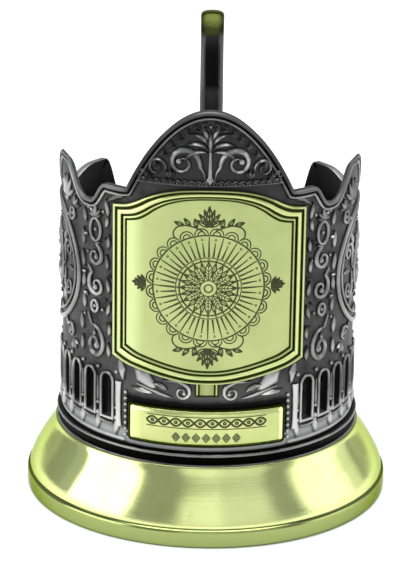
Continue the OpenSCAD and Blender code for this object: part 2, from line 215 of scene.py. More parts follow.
def curl(start, heading, length, bendStart, bendEnd, power=1.0, count=30):
    # A path whose heading turns by so many radians a millimetre: from bendStart to bendEnd as t ** power
    t = np.linspace(0, 1, count)
    step = length / (count - 1)
    rate = bendStart + (bendEnd - bendStart) * t**power
    angle = math.radians(heading) + np.concatenate([[0], np.cumsum((rate[1:] + rate[:-1]) / 2 * step)])
    mid = (angle[1:] + angle[:-1]) / 2
    moves = np.stack([np.cos(mid), np.sin(mid)], -1) * step
    return np.array(start, float) + np.vstack([[0, 0], np.cumsum(moves, 0)])


def spiral(centre, radii, angles, count=40, lead=None):
    # A path round a centre: radius r0 * (r1 / r0) ** t, while the angle goes evenly to the second one
    t = np.linspace(0, 1, count)
    r = radii[0] * (radii[1] / radii[0]) ** t
    a = np.radians(angles[0] + (angles[1] - angles[0]) * t)
    path = np.array(centre, float) + np.stack([r * np.cos(a), r * np.sin(a)], -1)
    return path if lead is None else even(np.vstack([np.array(lead, float).reshape(-1, 2), path]), count)


def mirrored(path, side):
    return np.asarray(path) * np.array([side, 1.0])


def taper(count):
    # Width shares along a scroll: from 0.35 up to 1 as a sine over its first part, then down to 0.45
    t = np.linspace(0, 1, count)
    swell = 0.35 + 0.65 * np.sin(np.clip(t / 0.45, 0, 1) * math.pi / 2)
    return swell - 0.55 * np.clip((t - 0.45) / 0.55, 0, 1) ** 0.7


def scroll(surface, path, half, height=0.75, section="round", eye=0.0, side=1):
    # A tapered band along the path, with a round eye at its end
    path = mirrored(path, side)
    w = taper(len(path))
    ribbon(surface, path, half * w, height * (0.55 + 0.45 * w), section)
    if eye:
        dome(surface, path[-1, 0], path[-1, 1], eye, height)


def leafOn(surface, start, heading, length, half, turn=0.0, height=0.7, side=1, lobes=0, count=15,
        section="leaf"):
    # A leaf: half * sin(pi * t ** 0.75) wide along a bent midrib, with an edge that swings by its lobes
    path = mirrored(curl(start, heading, length, turn, turn, count=count), side)
    t = np.linspace(0, 1, count)
    edge = np.sin(math.pi * t**0.75) * (1 - 0.28 * np.abs(np.sin(math.pi * lobes * t)) * (lobes > 0))
    ribbon(surface, path, np.maximum(half * edge, 0.03), height * (0.5 + 0.5 * np.sin(math.pi * t)), section)


windows = {
    "first": 41.5, "pitch": 9.5, "perSide": 13, "width": 3.0, "sill": 26.0, "top": 36.3,
    "zoneLow": 24.8, "zoneHigh": 38.0, "perEdge": 10,
    # growth of the outline and radius, from the inner edge of the opening over the raised frame
    "frame": [(0.0, 33.5), (0.0, 34.2), (0.0, 34.9), (0.05, 35.25), (0.22, 35.5), (0.42, 35.58),
        (0.6, 35.45), (0.74, 35.2), (0.82, 34.9)],
    # polish of the jambs of the first window, the second and the rest, raised on the first two as a painted
    # highlight, and of every frame's ends
    "jambs": (0.8, 0.55, 0.42), "ends": (0.95, 1.0), "endHeights": (26.0, 28.0, 33.5, 35.5),
    # height and swell of the bead under the windows, and degrees from the front where it begins
    "lowBead": [(23.0, 0.0), (21.9, 0.05), (21.6, 0.28), (21.2, 0.38), (20.9, 0.3), (20.7, 0.0)],
    "beadFrom": 32.5,
}
rim = {
    # distance in from the edge, radius and polish: inner line, rounded border, top edge, inner corner
    "profile": [(5.2, 34.9, 0.5), (2.7, 34.9, 0.4), (2.25, 34.92, 0.3), (2.1, 35.2, 0.9), (1.9, 35.42, 1),
        (1.65, 35.46, 1), (1.45, 35.32, 0.8), (1.32, 35.0, 0.1), (1.2, 34.95, 0), (1.1, 35.1, 0),
        (0.95, 35.5, 0.15), (0.65, 35.68, 0.3), (0.35, 35.66, 0.35), (0.12, 35.45, 0.45), (0.0, 35.15, 0.5),
        (0.0, 34.3, 0.4), (0.0, 33.8, 0.5), (0.15, 33.55, 0.6), (0.5, 33.5, 0.3), (5.2, 33.5, 0.3)],
    # degrees from the front, and shares: the border is dull along the crest, most of all on its flanks
    "dullAt": (18.0, 24.0, 30.0, 34.0), "dull": (0.65, 0.35, 0.35, 1.0),
    # the inner corner is bevelled along the wings, deepest at the bore, so that their tips are thin
    "bevelAt": (52.0, 60.0, 86.0, 98.0), "bevel": (0.0, 2.4, 2.4, 0.0),
    # behind this angle the top edge is painted bright as a highlight
    "highlightFrom": 78.0, "bright": 2.0,
    "easeSteps": 6, "easeWidth": 2.6,
}


def rimHeight(angle):
    # An arched crest, a parabola 1 - (a / crestHalf) ** 2, then cosine steps between the named heights
    a = fromFront(angle)
    h = holder
    out = h["shoulderH"] + (h["crestH"] - h["shoulderH"]) * np.clip(1 - (a / h["crestHalf"]) ** 2, 0, 1)
    for (start, low), (end, high) in zip(rimSteps, rimSteps[1:]):
        u = np.clip((a - start) / (end - start), 0, 1)
        out = np.where(a >= start, h[low] + (h[high] - h[low]) * (1 - np.cos(math.pi * u)) / 2, out)
    return out


def columnAngles():
    # The upright lines of the wall, in degrees: ten to a window, and as close between the windows
    w = windows
    edge = w["first"] - w["pitch"] / 2
    step = w["pitch"] / w["perEdge"]
    side = edge + np.arange(w["perSide"] * w["perEdge"] + 1) * step
    front = np.linspace(-edge, edge, 2 * round(edge / step) + 1)
    back = np.linspace(side[-1], 360 - side[-1], 2 * round((180 - side[-1]) / step) + 1)
    return np.concatenate([front[:-1], side[:-1], back[:-1], (360 - side)[::-1][:-1]])


def windowOutline(grow):
    # Round-topped outline, from its lower left corner round to the right: as many points as its cell has
    w, n = windows, windows["perEdge"]
    half, low, spring = w["width"] / 2 + grow, w["sill"] - grow, w["top"] - w["width"] / 2
    sillLine = np.stack([np.linspace(-half, half, n, endpoint=False), np.full(n, low)], -1)
    up = np.linspace(0, 1, n - 2, endpoint=False)
    right = np.stack([np.full(n - 2, half), low + (spring - low) * up], -1)
    a = np.radians(np.concatenate([[0, 20], 40 + np.arange(n) * 10.0, [140, 160]]))
    arc = np.stack([half * np.cos(a), spring + half * np.sin(a)], -1)
    left = np.stack([np.full(n - 2, -half), spring + (low - spring) * up], -1)
    return np.concatenate([sillLine, right, arc, left])


def cellOutline():
    # The edge of one window's cell: its four sides from the lower left corner, ten points on each
    w = windows
    half = math.radians(w["pitch"]) * holder["wallR"] / 2
    low, high = w["zoneLow"], w["zoneHigh"]
    corners = np.array([(-half, low), (half, low), (half, high), (-half, high), (-half, low)])
    t = (np.arange(w["perEdge"]) / w["perEdge"])[:, None]
    return np.concatenate([a + (b - a) * t for a, b in zip(corners, corners[1:])])


def rimNormals(s, line):
    # Unit inward normals of the rim's line: its slope is eased by a Gaussian, so that the lines don't cross
    n = rim["easeSteps"]
    around = 2 * math.pi * holder["wallR"]
    apart = (np.roll(s, -1) - np.roll(s, 1) + around) % around
    slope = (np.roll(line, -1) - np.roll(line, 1)) / apart
    kernel = np.exp(-(np.arange(-n, n + 1) / rim["easeWidth"]) ** 2)
    eased = np.convolve(np.concatenate([slope[-n:], slope, slope[:n]]), kernel / kernel.sum(), "valid")
    length = np.sqrt(1 + eased**2)
    return eased / length, -1 / length


def makeRim(wall, angles):
    # The border: its profile's distances, set in from the rim's line along the inward normals
    s = np.radians(angles) * holder["wallR"]
    line = rimHeight(angles)
    ns, nz = rimNormals(s, line)
    d, r, polishAndHighlight = (column[None, :] for column in np.array(rim["profile"]).T)
    away = fromFront(angles)[:, None]
    topEdge = (r > 33.6) & (r < 35.3) & (d < 0.3)
    polishAndHighlight = np.where((away > rim["highlightFrom"]) & topEdge, rim["bright"], polishAndHighlight)
    polishAndHighlight = polishAndHighlight * np.interp(away, rim["dullAt"], rim["dull"])
    corner = np.interp(r, (holder["boreR"], holder["wallR"]), (1.0, 0.0)) * (d < 1.0)
    d = d + corner * np.interp(away, rim["bevelAt"], rim["bevel"])
    across, up = s[:, None] + ns[:, None] * d, line[:, None] + nz[:, None] * d
    wall.grid(bend(across, up, r), loopRows=True, value=polishAndHighlight)
    return across, up


def makeSleeveWall(material):
    wall = Surface()
    w, wallR, boreR, footZ = windows, holder["wallR"], holder["boreR"], holder["sleeveFoot"]
    angles = columnAngles()
    s = np.radians(angles)[:, None] * wallR
    across, up = makeRim(wall, angles)
    # the wall from the windows' zone up to the border, outside and inside
    for col, radius, steps in ((0, wallR, 26), (-1, boreR, 10)):
        t = np.linspace(0, 1, steps + 1)[None, :]
        along = s * (1 - t) + across[:, col, None] * t
        z = w["zoneHigh"] * (1 - t) + up[:, col, None] * t
        wall.grid(bend(along, z, radius), loopRows=True, value=0.5)
    # the band under the windows down to the bottom edge, with a bead that stops behind the name plate
    low = [(w["zoneLow"], 0.0)] + w["lowBead"] + [(footZ, 0.0)]
    z, out = (column[None, :] for column in np.array(low).T)
    besidePlate = np.clip((fromFront(angles) - w["beadFrom"]) * 2, 0, 1)[:, None]
    wall.grid(bend(s, z, wallR + out * besidePlate), loopRows=True, value=0.9)
    z, r = (column[None, :] for column in np.array([(footZ, wallR), (footZ, boreR), (w["zoneLow"], boreR)]).T)
    wall.grid(bend(s, z, r), loopRows=True, value=0.3)
    # plain stretches beside the arcade, on the same upright steps as the cells
    rows = np.linspace(w["zoneLow"], w["zoneHigh"], w["perEdge"] + 1)[None, :]
    first = w["first"] - w["pitch"] / 2
    last = first + w["perSide"] * w["pitch"]
    for start, end in ((-first, first), (last, 360 - last)):
        steps = 2 * round((end - start) / 2 * w["perEdge"] / w["pitch"])
        cols = np.radians(np.linspace(start, end, steps + 1))[:, None] * wallR
        for radius in (wallR, boreR):
            wall.grid(bend(cols, rows, radius), value=0.5)
    # the windows' cells, with frames rubbed brighter at their ends
    cell = cellOutline()
    outside = [(windowOutline(grow), r) for grow, r in w["frame"]] + [(cell, wallR)]
    inside = [(windowOutline(0), boreR), (cell, boreR)]
    for k in range(w["perSide"]):
        # the jambs of the first two windows are painted brighter as a highlight
        jamb = w["jambs"][min(k, 2)]
        shares = (w["ends"][0], jamb, jamb, w["ends"][1])
        for side in (-1, 1):
            at = side * math.radians(w["first"] + k * w["pitch"]) * wallR
            for stack in (outside, inside):
                rings = np.stack([bend(o[:, 0] + at, o[:, 1], r) for o, r in stack])
                rub = np.stack([np.interp(o[:, 1], w["endHeights"], shares) for o, r in stack])
                wall.grid(rings, loopCols=True, value=rub)
    wall.piece("sleeve_wall", material, "blackened_sleeve", ["sleeve"], attribute="polishAndHighlight")


relief = {
    "crestFoot": 84.7, "wing": (42.8, 75.0), "medallion": (54.8, 58.0),
    # single volutes: middle, radii, angles, points and the path that leads in, then half width, height,
    # section and the eye's radius
    "volutes": [
        ((6.2, 89.7), (4.0, 1.0), (190, -330), 64, [(0.9, 85.4), (1.4, 87.6)], 1.0, 0.85, "reeded", 0.8),
        ((12.3, 88.3), (2.3, 0.7), (165, -300), 40, [(9.9, 85.6)], 0.6, 0.7, "reeded", 0.55),
        ((16.0, 86.6), (1.0, 0.4), (150, -250), 24, [(14.6, 85.4)], 0.3, 0.6, "round", 0.35),
        ((5.7, 35.0), (2.1, 0.6), (120, 560), 36, [(10.2, 37.6), (6.6, 37.8)], 0.6, 0.8, "round", 0.6),
        ((92.6, 50.4), (4.2, 0.9), (190, -330), 50, [(88.0, 40.4), (88.2, 45.0)], 0.65, 0.8, "reeded", 0.8),
    ],
    # single leaves, over and under the shield and near the handle: place, heading, length, half width, bend,
    # height, lobes, points and section
    "leaves": [
        ((20.4, 80.0), 2, 6.0, 0.8, -0.16, 0.7, 0, 15, "leaf"),
        ((24.8, 74.6), 70, 4.2, 0.75, 0.06, 0.7, 0, 15, "leaf"),
        ((9.0, 35.2), 30, 4.4, 0.95, -0.05, 0.7, 0, 15, "leaf"),
        ((11.8, 35.4), 32, 9.0, 2.6, 0.05, 1.1, 2, 24, "reeded"),
        ((12.4, 34.2), -2, 6.0, 1.2, 0.05, 0.9, 2, 20, "leaf"),
        ((21.4, 41.2), 262, 5.6, 1.5, -0.03, 0.85, 2, 20, "leaf"),
        ((89.2, 43.0), 58, 5.6, 1.0, -0.04, 0.75, 2, 18, "leaf"),
        ((98.6, 40.0), 115, 7.0, 1.0, 0.05, 0.7, 2, 18, "leaf"),
    ],
    # crest leaves on each side of the stem: height, heading, length and bend
    "crestLeaves": [(92.4, 14, 6.8, -0.2), (93.2, 38, 6.0, -0.2), (94.2, 58, 5.0, -0.18),
        (95.2, 74, 3.8, -0.16)],
    # the two upright chains: place across, way round and height share
    "chains": [(29.2, 1, 1.0), (78.2, -1, 0.85)], "chainFoot": 38.5,
    # chain leaves: across, up, heading and length; then its buds, and its beads
    "chainLeaves": [(-3.6, 71.6, 100, 3.4), (3.6, 71.6, 80, 3.4), (-4.2, 66.6, 95, 3.8),
        (4.3, 66.0, 85, 4.2), (-4.1, 61.6, 85, 3.8), (4.2, 60.6, 80, 4.2), (4.4, 55.6, 95, 3.8),
        (-4.6, 56.0, 80, 4.0), (3.9, 50.6, 85, 3.8), (-3.9, 50.4, 105, 4.0), (-4.6, 45.6, 95, 3.6),
        (4.9, 45.0, 85, 4.2), (-4.6, 40.4, 85, 3.8), (4.9, 40.0, 90, 3.8)],
    "chainBuds": [(-2.2, 68.6, 150), (2.6, 68.4, 30), (3.4, 59.2, 20), (-3.6, 60.0, 165), (-2.6, 53.6, 140),
        (2.8, 53.8, 40), (-2.8, 48.2, 160), (0.2, 44.6, 90)],
    "chainBeads": [(-2.4, 51.6), (2.8, 64.6), (-3.6, 64.6), (-2.6, 75.4), (2.6, 75.4), (4.0, 49.2)],
    # lines round the medallion: half width, half height, thickness and height
    "hoops": [(19.0, 15.2, 0.7, 0.8), (17.1, 13.3, 0.32, 0.6), (8.2, 8.2, 0.38, 0.65)],
    # scrolls in the corners outside the medallion: place, and which way they open
    "corners": [(39.6, 72.2, -1, 1), (40.2, 42.8, -1, -1), (69.2, 42.8, 1, -1)],
}


def spray(surface, place, headings, length, half, side, tall=0.7):
    # Leaves that fan out from one place
    for heading in headings:
        leafOn(surface, place, heading, length, half, 0, tall, side)


def makeCrestArt(art, side):
    # Leaves from the stem and along the border, and small arches with beads over a line at the foot
    foot = relief["crestFoot"]
    for z, heading, length, turn in relief["crestLeaves"]:
        leafOn(art, (0.5, z), heading, length, 0.8, turn, 0.75, side)
    spray(art, (8.9, 86.2), (55, 125, 90), 2.2, 0.55, side, 1.0)
    halfCrest = math.radians(holder["crestHalf"]) * holder["wallR"]
    lean = 2 * (holder["crestH"] - holder["shoulderH"]) / halfCrest**2
    for s in np.linspace(14.6, 2.4, 8):
        slope = math.atan(lean * s)
        heading = 180 - math.degrees(slope)
        z = float(rimHeight(math.degrees(s / holder["wallR"]))) - 3.4 / math.cos(slope)
        leafOn(art, (s, z), heading - 22, 2.0, 0.5, 0, 1.0, side)
        leafOn(art, (s, z), heading + 22, 1.8, 0.45, 0, 0.9, side)
    for k in range(10):
        spot = np.array([0.85 + 1.62 * k, foot + 0.35])
        ribbon(art, mirrored(spot + 0.66 * onCircle(9, 0, 180), side), 0.26, 0.85, across=5)
        dome(art, side * spot[0], spot[1] + 0.1, 0.3, 0.75)
    base = np.stack([np.linspace(0.01, 16.9, 24), np.full(24, foot)], -1)
    ribbon(art, mirrored(base, side), 0.3, 0.65)


def makeChainArt(art, side, column, flip, share):
    # An upright chain: a tall C scroll at its foot, curls with ovals between them, and leaves down both sides
    foot = relief["chainFoot"]

    def at(path):
        p = np.asarray(path, float).reshape(-1, 2)
        return np.stack([p[:, 0] * flip + column, foot + (p[:, 1] - foot) * share], -1)

    def bead(x, z, radius, tall):
        spot = at((x, z))[0]
        dome(art, side * spot[0], spot[1], radius, tall)

    def leafAt(x, z, heading, length, half):
        leafOn(art, at((x, z))[0], heading if flip > 0 else 180 - heading, length, half, side=side)

    for x, z, halfW, halfH in ((0, 70.6, 1.8, 2.7), (0.2, 52.0, 1.1, 1.4)):
        oval = at(np.array([x, z]) + onCircle(24) * (halfW, halfH))
        ribbon(art, mirrored(oval, side), 0.45, 0.7, closed=True)
        bead(x, z, 0.6, 0.65)
    upper = spiral((0.3, 64.2), (3.1, 0.7), (100, 560), 46, [(-1.9, 67.9)])
    scroll(art, at(upper), 0.7, 0.8, "round", 0.8, side)
    middle = spiral((-0.5, 57.2), (3.3, 0.8), (60, -410), 48, [(2.6, 61.5)])
    scroll(art, at(middle), 0.75, 0.8, "round", 0.85, side)
    tall = spiral((0, 0), (3.8, 0.9), (75, 560), 60) * (1.0, 1.22) + (0.3, 42.8)
    scroll(art, at(np.vstack([[(2.6, 50.0)], tall])), 1.0, 0.9, "reeded", 1.05, side)
    for heading, length in ((90, 3.4), (50, 2.9), (130, 2.9), (18, 2.4), (162, 2.4)):
        leafAt(0, 73.6, heading, length, 0.65)
    for x, z, heading, length in relief["chainLeaves"]:
        leafAt(x, z, heading, length, 0.72)
    for x, z, heading in relief["chainBuds"]:
        leafAt(x, z, heading, 1.7, 0.42)
    for x, z in relief["chainBeads"]:
        bead(x, z, 0.5, 0.6)


def makeMedallionArt(art, side):
    # Two oval lines, a beaded ring round an eight-leaved rosette, scrolls, and sprays in the corners outside
    centre = np.array(relief["medallion"])
    for halfW, halfH, thick, tall in relief["hoops"]:
        ribbon(art, mirrored(centre + onCircle(64) * (halfW, halfH), side), thick, tall, closed=True)
    for k, way in enumerate(onCircle(16)):
        if k % 2:
            leafOn(art, centre + 3.6 * way, k * 22.5, 3.8, 0.65, 0, 0.6, side)
        else:
            leafOn(art, centre + 1.7 * way, k * 22.5, 5.8, 1.45, 0, 0.8, side, lobes=2)
        spot = centre + 9.7 * way
        dome(art, side * spot[0], spot[1], 0.45, 0.55)
    dome(art, side * centre[0], centre[1], 1.5, 0.8)
    curlIn = spiral((13.1, 4.4), (2.9, 0.7), (200, -260), 40, [(10.6, 0.6)])
    for flip in (-1, 1):
        for rise in (-1, 1):
            way = np.array([flip, rise])
            scroll(art, centre + curlIn * way, 0.5, 0.7, "round", 0.5, side)
            outer, inner = (90 - 20 * flip) * rise, (90 - 80 * flip) * rise
            leafOn(art, centre + (10.2, 5.6) * way, outer, 4.6, 0.7, -0.1 * flip * rise, side=side)
            leafOn(art, centre + (4.6, 10.6) * way, inner, 4.4, 0.6, 0, side=side)
        leafOn(art, centre + (12.4 * flip, 0), 90 - 90 * flip, 4.0, 0.8, 0, side=side)
    curlOut = spiral((0, 0), (2.1, 0.6), (-160, 340), 32, [(-3.4, -2.6)])
    for x, z, flip, rise in relief["corners"]:
        way = np.array([flip, rise])
        scroll(art, curlOut * way + (x, z), 0.5, 0.7, "round", 0.6, side)
        heading = 90 * rise - 35 * flip * rise
        spray(art, (x, z) + way * (1.6, 1.7), (heading - 40, heading, heading + 40), 2.6, 0.6, side)
    spray(art, (71.6, 67.0), (12, 50, 88), 3.0, 0.65, side)
    spray(art, relief["wing"], (32, 62, 90, 118, 148), 5.4, 0.85, side)
    dome(art, side * relief["wing"][0], relief["wing"][1] - 0.2, 0.9, 0.8)


def makeArcadeArt(art, side):
    # Between the windows a pedestal, a bead, a swelling shaft and a capital; under each window its own sill
    w = windows
    shaft = np.array([0.25, 0.5, 0.55, 0.46, 0.34, 0.26, 0.16])
    for k in range(w["perSide"] + 1):
        s = math.radians(w["first"] + (k - 0.5) * w["pitch"]) * holder["wallR"]
        leafOn(art, (s, 25.9), 270, 4.2, 1.1, 0, 0.75, side)
        dome(art, side * s, 26.1, 0.72, 0.75, rings=3, steps=10)
        dome(art, side * s, 28.6, 0.55, 0.7, rings=3, steps=10)
        upright = np.stack([np.full(7, side * s), np.linspace(29.2, 35.2, 7)], -1)
        ribbon(art, upright, shaft, 0.62, across=5, value=0.6)
        dome(art, side * s, 37.5, 0.62, 0.7, rings=3, steps=10)
        if k < w["perSide"]:
            at = math.radians(w["first"] + k * w["pitch"]) * holder["wallR"]
            dip = 24.6 - 0.25 * np.cos(np.linspace(-1.5, 1.5, 7))
            sill = np.stack([at + np.linspace(-2.0, 2.0, 7), dip], -1)
            ribbon(art, mirrored(sill, side), 0.34, 0.65, across=5)


def makeFrontArt(art, side):
    # Under the shield a stem, a pilaster and a row of beads
    scroll(art, curl((7.9, 33.6), 10, 9.0, 0.05, -0.05, 1, 18), 0.5, 0.65, side=side)
    pilaster = np.stack([np.full(9, side * 21.7), np.linspace(24.4, 35.4, 9)], -1)
    ribbon(art, pilaster, np.array([1.0, 0.8, 0.72, 0.72, 0.72, 0.72, 0.72, 0.8, 1.0]), 0.7, "flat", 9)
    for z in np.arange(22.6, 34.0, 1.5):
        dome(art, side * 19.7, z, 0.52, 0.7)


def makeSleeveRelief(material):
    art = Surface()
    for side in (-1, 1):
        makeCrestArt(art, side)
        for column, flip, share in relief["chains"]:
            makeChainArt(art, side, column, flip, share)
        makeMedallionArt(art, side)
        makeArcadeArt(art, side)
        makeFrontArt(art, side)
        for *course, half, tall, section, eye in relief["volutes"]:
            scroll(art, spiral(*course), half, tall, section, eye, side)
        for *leaf, lobes, count, section in relief["leaves"]:
            leafOn(art, *leaf, side, lobes, count, section)
    # the crest's middle: a leaf, the stem and a bead at each end
    leafOn(art, (0, 92.0), 90, 5.8, 0.8)
    ribbon(art, np.stack([np.zeros(8), np.linspace(85.2, 92.6, 8)], -1), np.linspace(0.7, 0.4, 8), 0.75)
    dome(art, 0, 98.4, 0.45, 0.6)
    dome(art, 0, 86.0, 1.0, 0.85)
    art.piece("sleeve_relief", material, "blackened_sleeve", ["sleeve"], sharp=60, attribute="polishAndHighlight")


class Socket:
    # Wraps a node's output, so that shader maths reads as an expression
    def __init__(self, graph, link):
        self.graph, self.link = graph, link

    def math(self, operation, *others, clamp=False):
        return self.graph.node("ShaderNodeMath", {"operation": operation, "use_clamp": clamp}, self, *others)

    def __add__(self, other):
        return self.math("ADD", other)

    def __mul__(self, other):
        return self.math("MULTIPLY", other)

    def __sub__(self, other):
        return self.math("SUBTRACT", other)

    def __pow__(self, other):
        return self.math("POWER", other)

    def __rsub__(self, other):
        return self.graph.node("ShaderNodeMath", {"operation": "SUBTRACT"}, other, self)

    __radd__ = __add__
    __rmul__ = __mul__

    def size(self):
        return self.math("ABSOLUTE")

    def clamp(self):
        return self.math("ADD", 0.0, clamp=True)


class Finish:
    # One material: node() adds any node from its type, its settings and the values or links of its sockets
    def __init__(self, name, colour, metallic=1.0, roughness=0.4):
        self.material = bpy.data.materials.new(name)
        self.material.use_nodes = True
        self.tree = self.material.node_tree
        self.shader = self.tree.nodes["Principled BSDF"]
        self.shader.inputs["Metallic"].default_value = metallic
        self.shader.inputs["Roughness"].default_value = roughness
        self.shader.inputs["Base Color"].default_value = (*colour, 1)
        self.place = self.node("ShaderNodeTexCoord", output="Object")
        apart = self.node("ShaderNodeSeparateXYZ", None, self.place).link.node
        metres = [Socket(self, out) for out in apart.outputs]
        # places on the piece in millimetres: across, forward, up, and out from the upright axis
        self.x, self.y, self.z = (way * 1000.0 for way in metres)
        self.out = (metres[0] * metres[0] + metres[1] * metres[1]) ** 0.5 * 1000.0

    def node(self, kind, settings=None, *values, output=0, **named):
        made = self.tree.nodes.new(kind)
        for key, value in (settings or {}).items():
            setattr(made, key, value)
        for key, value in list(enumerate(values)) + list(named.items()):
            socket = made.inputs[key if isinstance(key, int) else key.replace("_", " ")]
            if isinstance(value, Socket):
                self.tree.links.new(value.link, socket)
            elif value is not None:
                socket.default_value = value
        return Socket(self, made.outputs[output])

    def noise(self, scale, detail=4.0, roughness=0.55, distortion=0.0, where=None):
        return self.node("ShaderNodeTexNoise", None, Vector=where or self.place, Scale=scale, Detail=detail,
            Roughness=roughness, Distortion=distortion)

    def lines(self, along, scale, detail, roughness=0.5):
        # Noise of one dimension: fine lines that follow a height or a radius
        return self.node("ShaderNodeTexNoise", {"noise_dimensions": "1D"}, W=along, Scale=scale,
            Detail=detail, Roughness=roughness)

    def blend(self, share, first, second):
        # A Mix node on colours: its factor is socket 0 and its two colours are sockets 6 and 7
        pair = [colour if isinstance(colour, Socket) else (*colour, 1) for colour in (first, second)]
        return self.node("ShaderNodeMix", {"data_type": "RGBA"}, share, *[None] * 5, *pair, output=2)

    def between(self, value, low, high, toLow=0.0, toHigh=1.0):
        return self.node("ShaderNodeMapRange", {"clamp": True}, value, low, high, toLow, toHigh)

    def attribute(self, name):
        return self.node("ShaderNodeAttribute", {"attribute_name": name}, output=2)

    def connect(self, colour, roughness, height, depth=0.00005, strength=0.5):
        bump = self.node("ShaderNodeBump", None, Strength=strength, Distance=depth, Height=height)
        for name, value in (("Base Color", colour), ("Roughness", roughness), ("Normal", bump)):
            self.tree.links.new(value.link, self.shader.inputs[name])
        return self.material


def grey(value, blue=None):
    return (value, value, value if blue is None else blue)


def scaled(colour, share):
    return tuple(min(1.0, c * share) for c in colour)


def blackenedSilver(name, radii, fineness, dark, middle, bright, tip=None):
    # Castings: black in the hollows and rubbed bright where the surface stands out, between the two radii
    f = Finish(name, middle)
    cloud = f.noise(260.0 * fineness, 5.0, 0.6)
    grain = f.noise(2600.0, 3.0, 0.7)
    rub = f.between(f.out + (cloud - 0.5) * 0.35, *radii)
    colour = f.blend(f.between(rub, 0.0, 0.55), dark, middle)
    colour = f.blend(f.between(rub + (cloud - 0.5) * 0.3, 0.45, 1.0), colour, bright)
    if tip:
        # the bar's two sides are painted lighter as a highlight, and its upper end is gilded
        litSides = f.between(f.x.size() + (cloud - 0.5) * 0.5, 1.5, 2.8)
        up = f.z + (cloud - 0.5) * 2.0
        colour = f.blend(litSides, colour, grey(0.13, 0.128))
        colour = f.blend(f.between(up, 97.6, 98.6), colour, scaled(tip, 0.5))
        colour = f.blend(f.between(up, 99.6, 101.2), colour, scaled(tip, 2.4))
    rough = f.between(rub, 0.0, 1.0, 0.62, 0.27) + (grain - 0.5) * 0.12
    return f.connect(colour, rough.clamp(), grain + cloud * 0.8, 0.00006)


sleeveTones = {
    # the ground: two shades, the crest, the lower front, the painted shadow over the name plate, the arcade,
    # the low band
    "dark": grey(0.024), "pale": grey(0.075, 0.074), "crest": grey(0.038), "front": grey(0.105, 0.104),
    "plateShadow": grey(0.008), "arcade": grey(0.012), "lowBand": grey(0.32),
    # the line round relief, painted dark as contact shadow; what is rubbed bright: two shades, then low down,
    # and on the lower front
    "line": grey(0.005), "rubbedDark": grey(0.17, 0.168), "rubbedPale": grey(0.36, 0.355),
    "rubbedLow": grey(0.55, 0.545), "rubbedFront": grey(0.62, 0.613),
    # the bore, painted near black as shade: low down, high up, and behind the front
    "boreShadeLow": grey(0.0015), "boreShadeHigh": grey(0.014), "boreShadeFront": grey(0.055),
}


sleeveMasks = {
    # heights: the crest, the top of the lower front, the painted shadow over the name plate, the arcade's
    # foot and top, the band under it, where low relief is brighter, where the dark line of painted contact
    # shadow round relief gets its full depth, and up the bore, painted near black as shade
    "crest": (80.5, 84.5), "frontTop": (35.0, 39.0), "plateShadow": (32.3, 33.6), "arcadeFoot": (26.0, 27.5),
    "arcadeTop": (36.0, 38.5), "lowBand": (23.2, 24.6), "low": (25.0, 29.0), "contactShadeUp": (24.0, 27.0),
    "boreUp": (38.0, 72.0),
    # places front to back, less than 0 in front of the axis; then the place across beside the name plate,
    # where its painted shadow stops
    "front": (-29.5, -27.0), "arcade": (-28.0, -26.5), "boreShadeFront": (-22.0, 4.0), "besidePlate": (18.4, 18.9),
    # heights over the wall: rubbed relief, and where the dark line of painted contact shadow round it starts
    # and ends; then the radii between the bore and the wall
    "rubbed": (0.12, 0.66), "contactShadeStart": (0.015, 0.06), "contactShadeEnd": (0.16, 0.36), "inside": (33.6, 34.6),
}


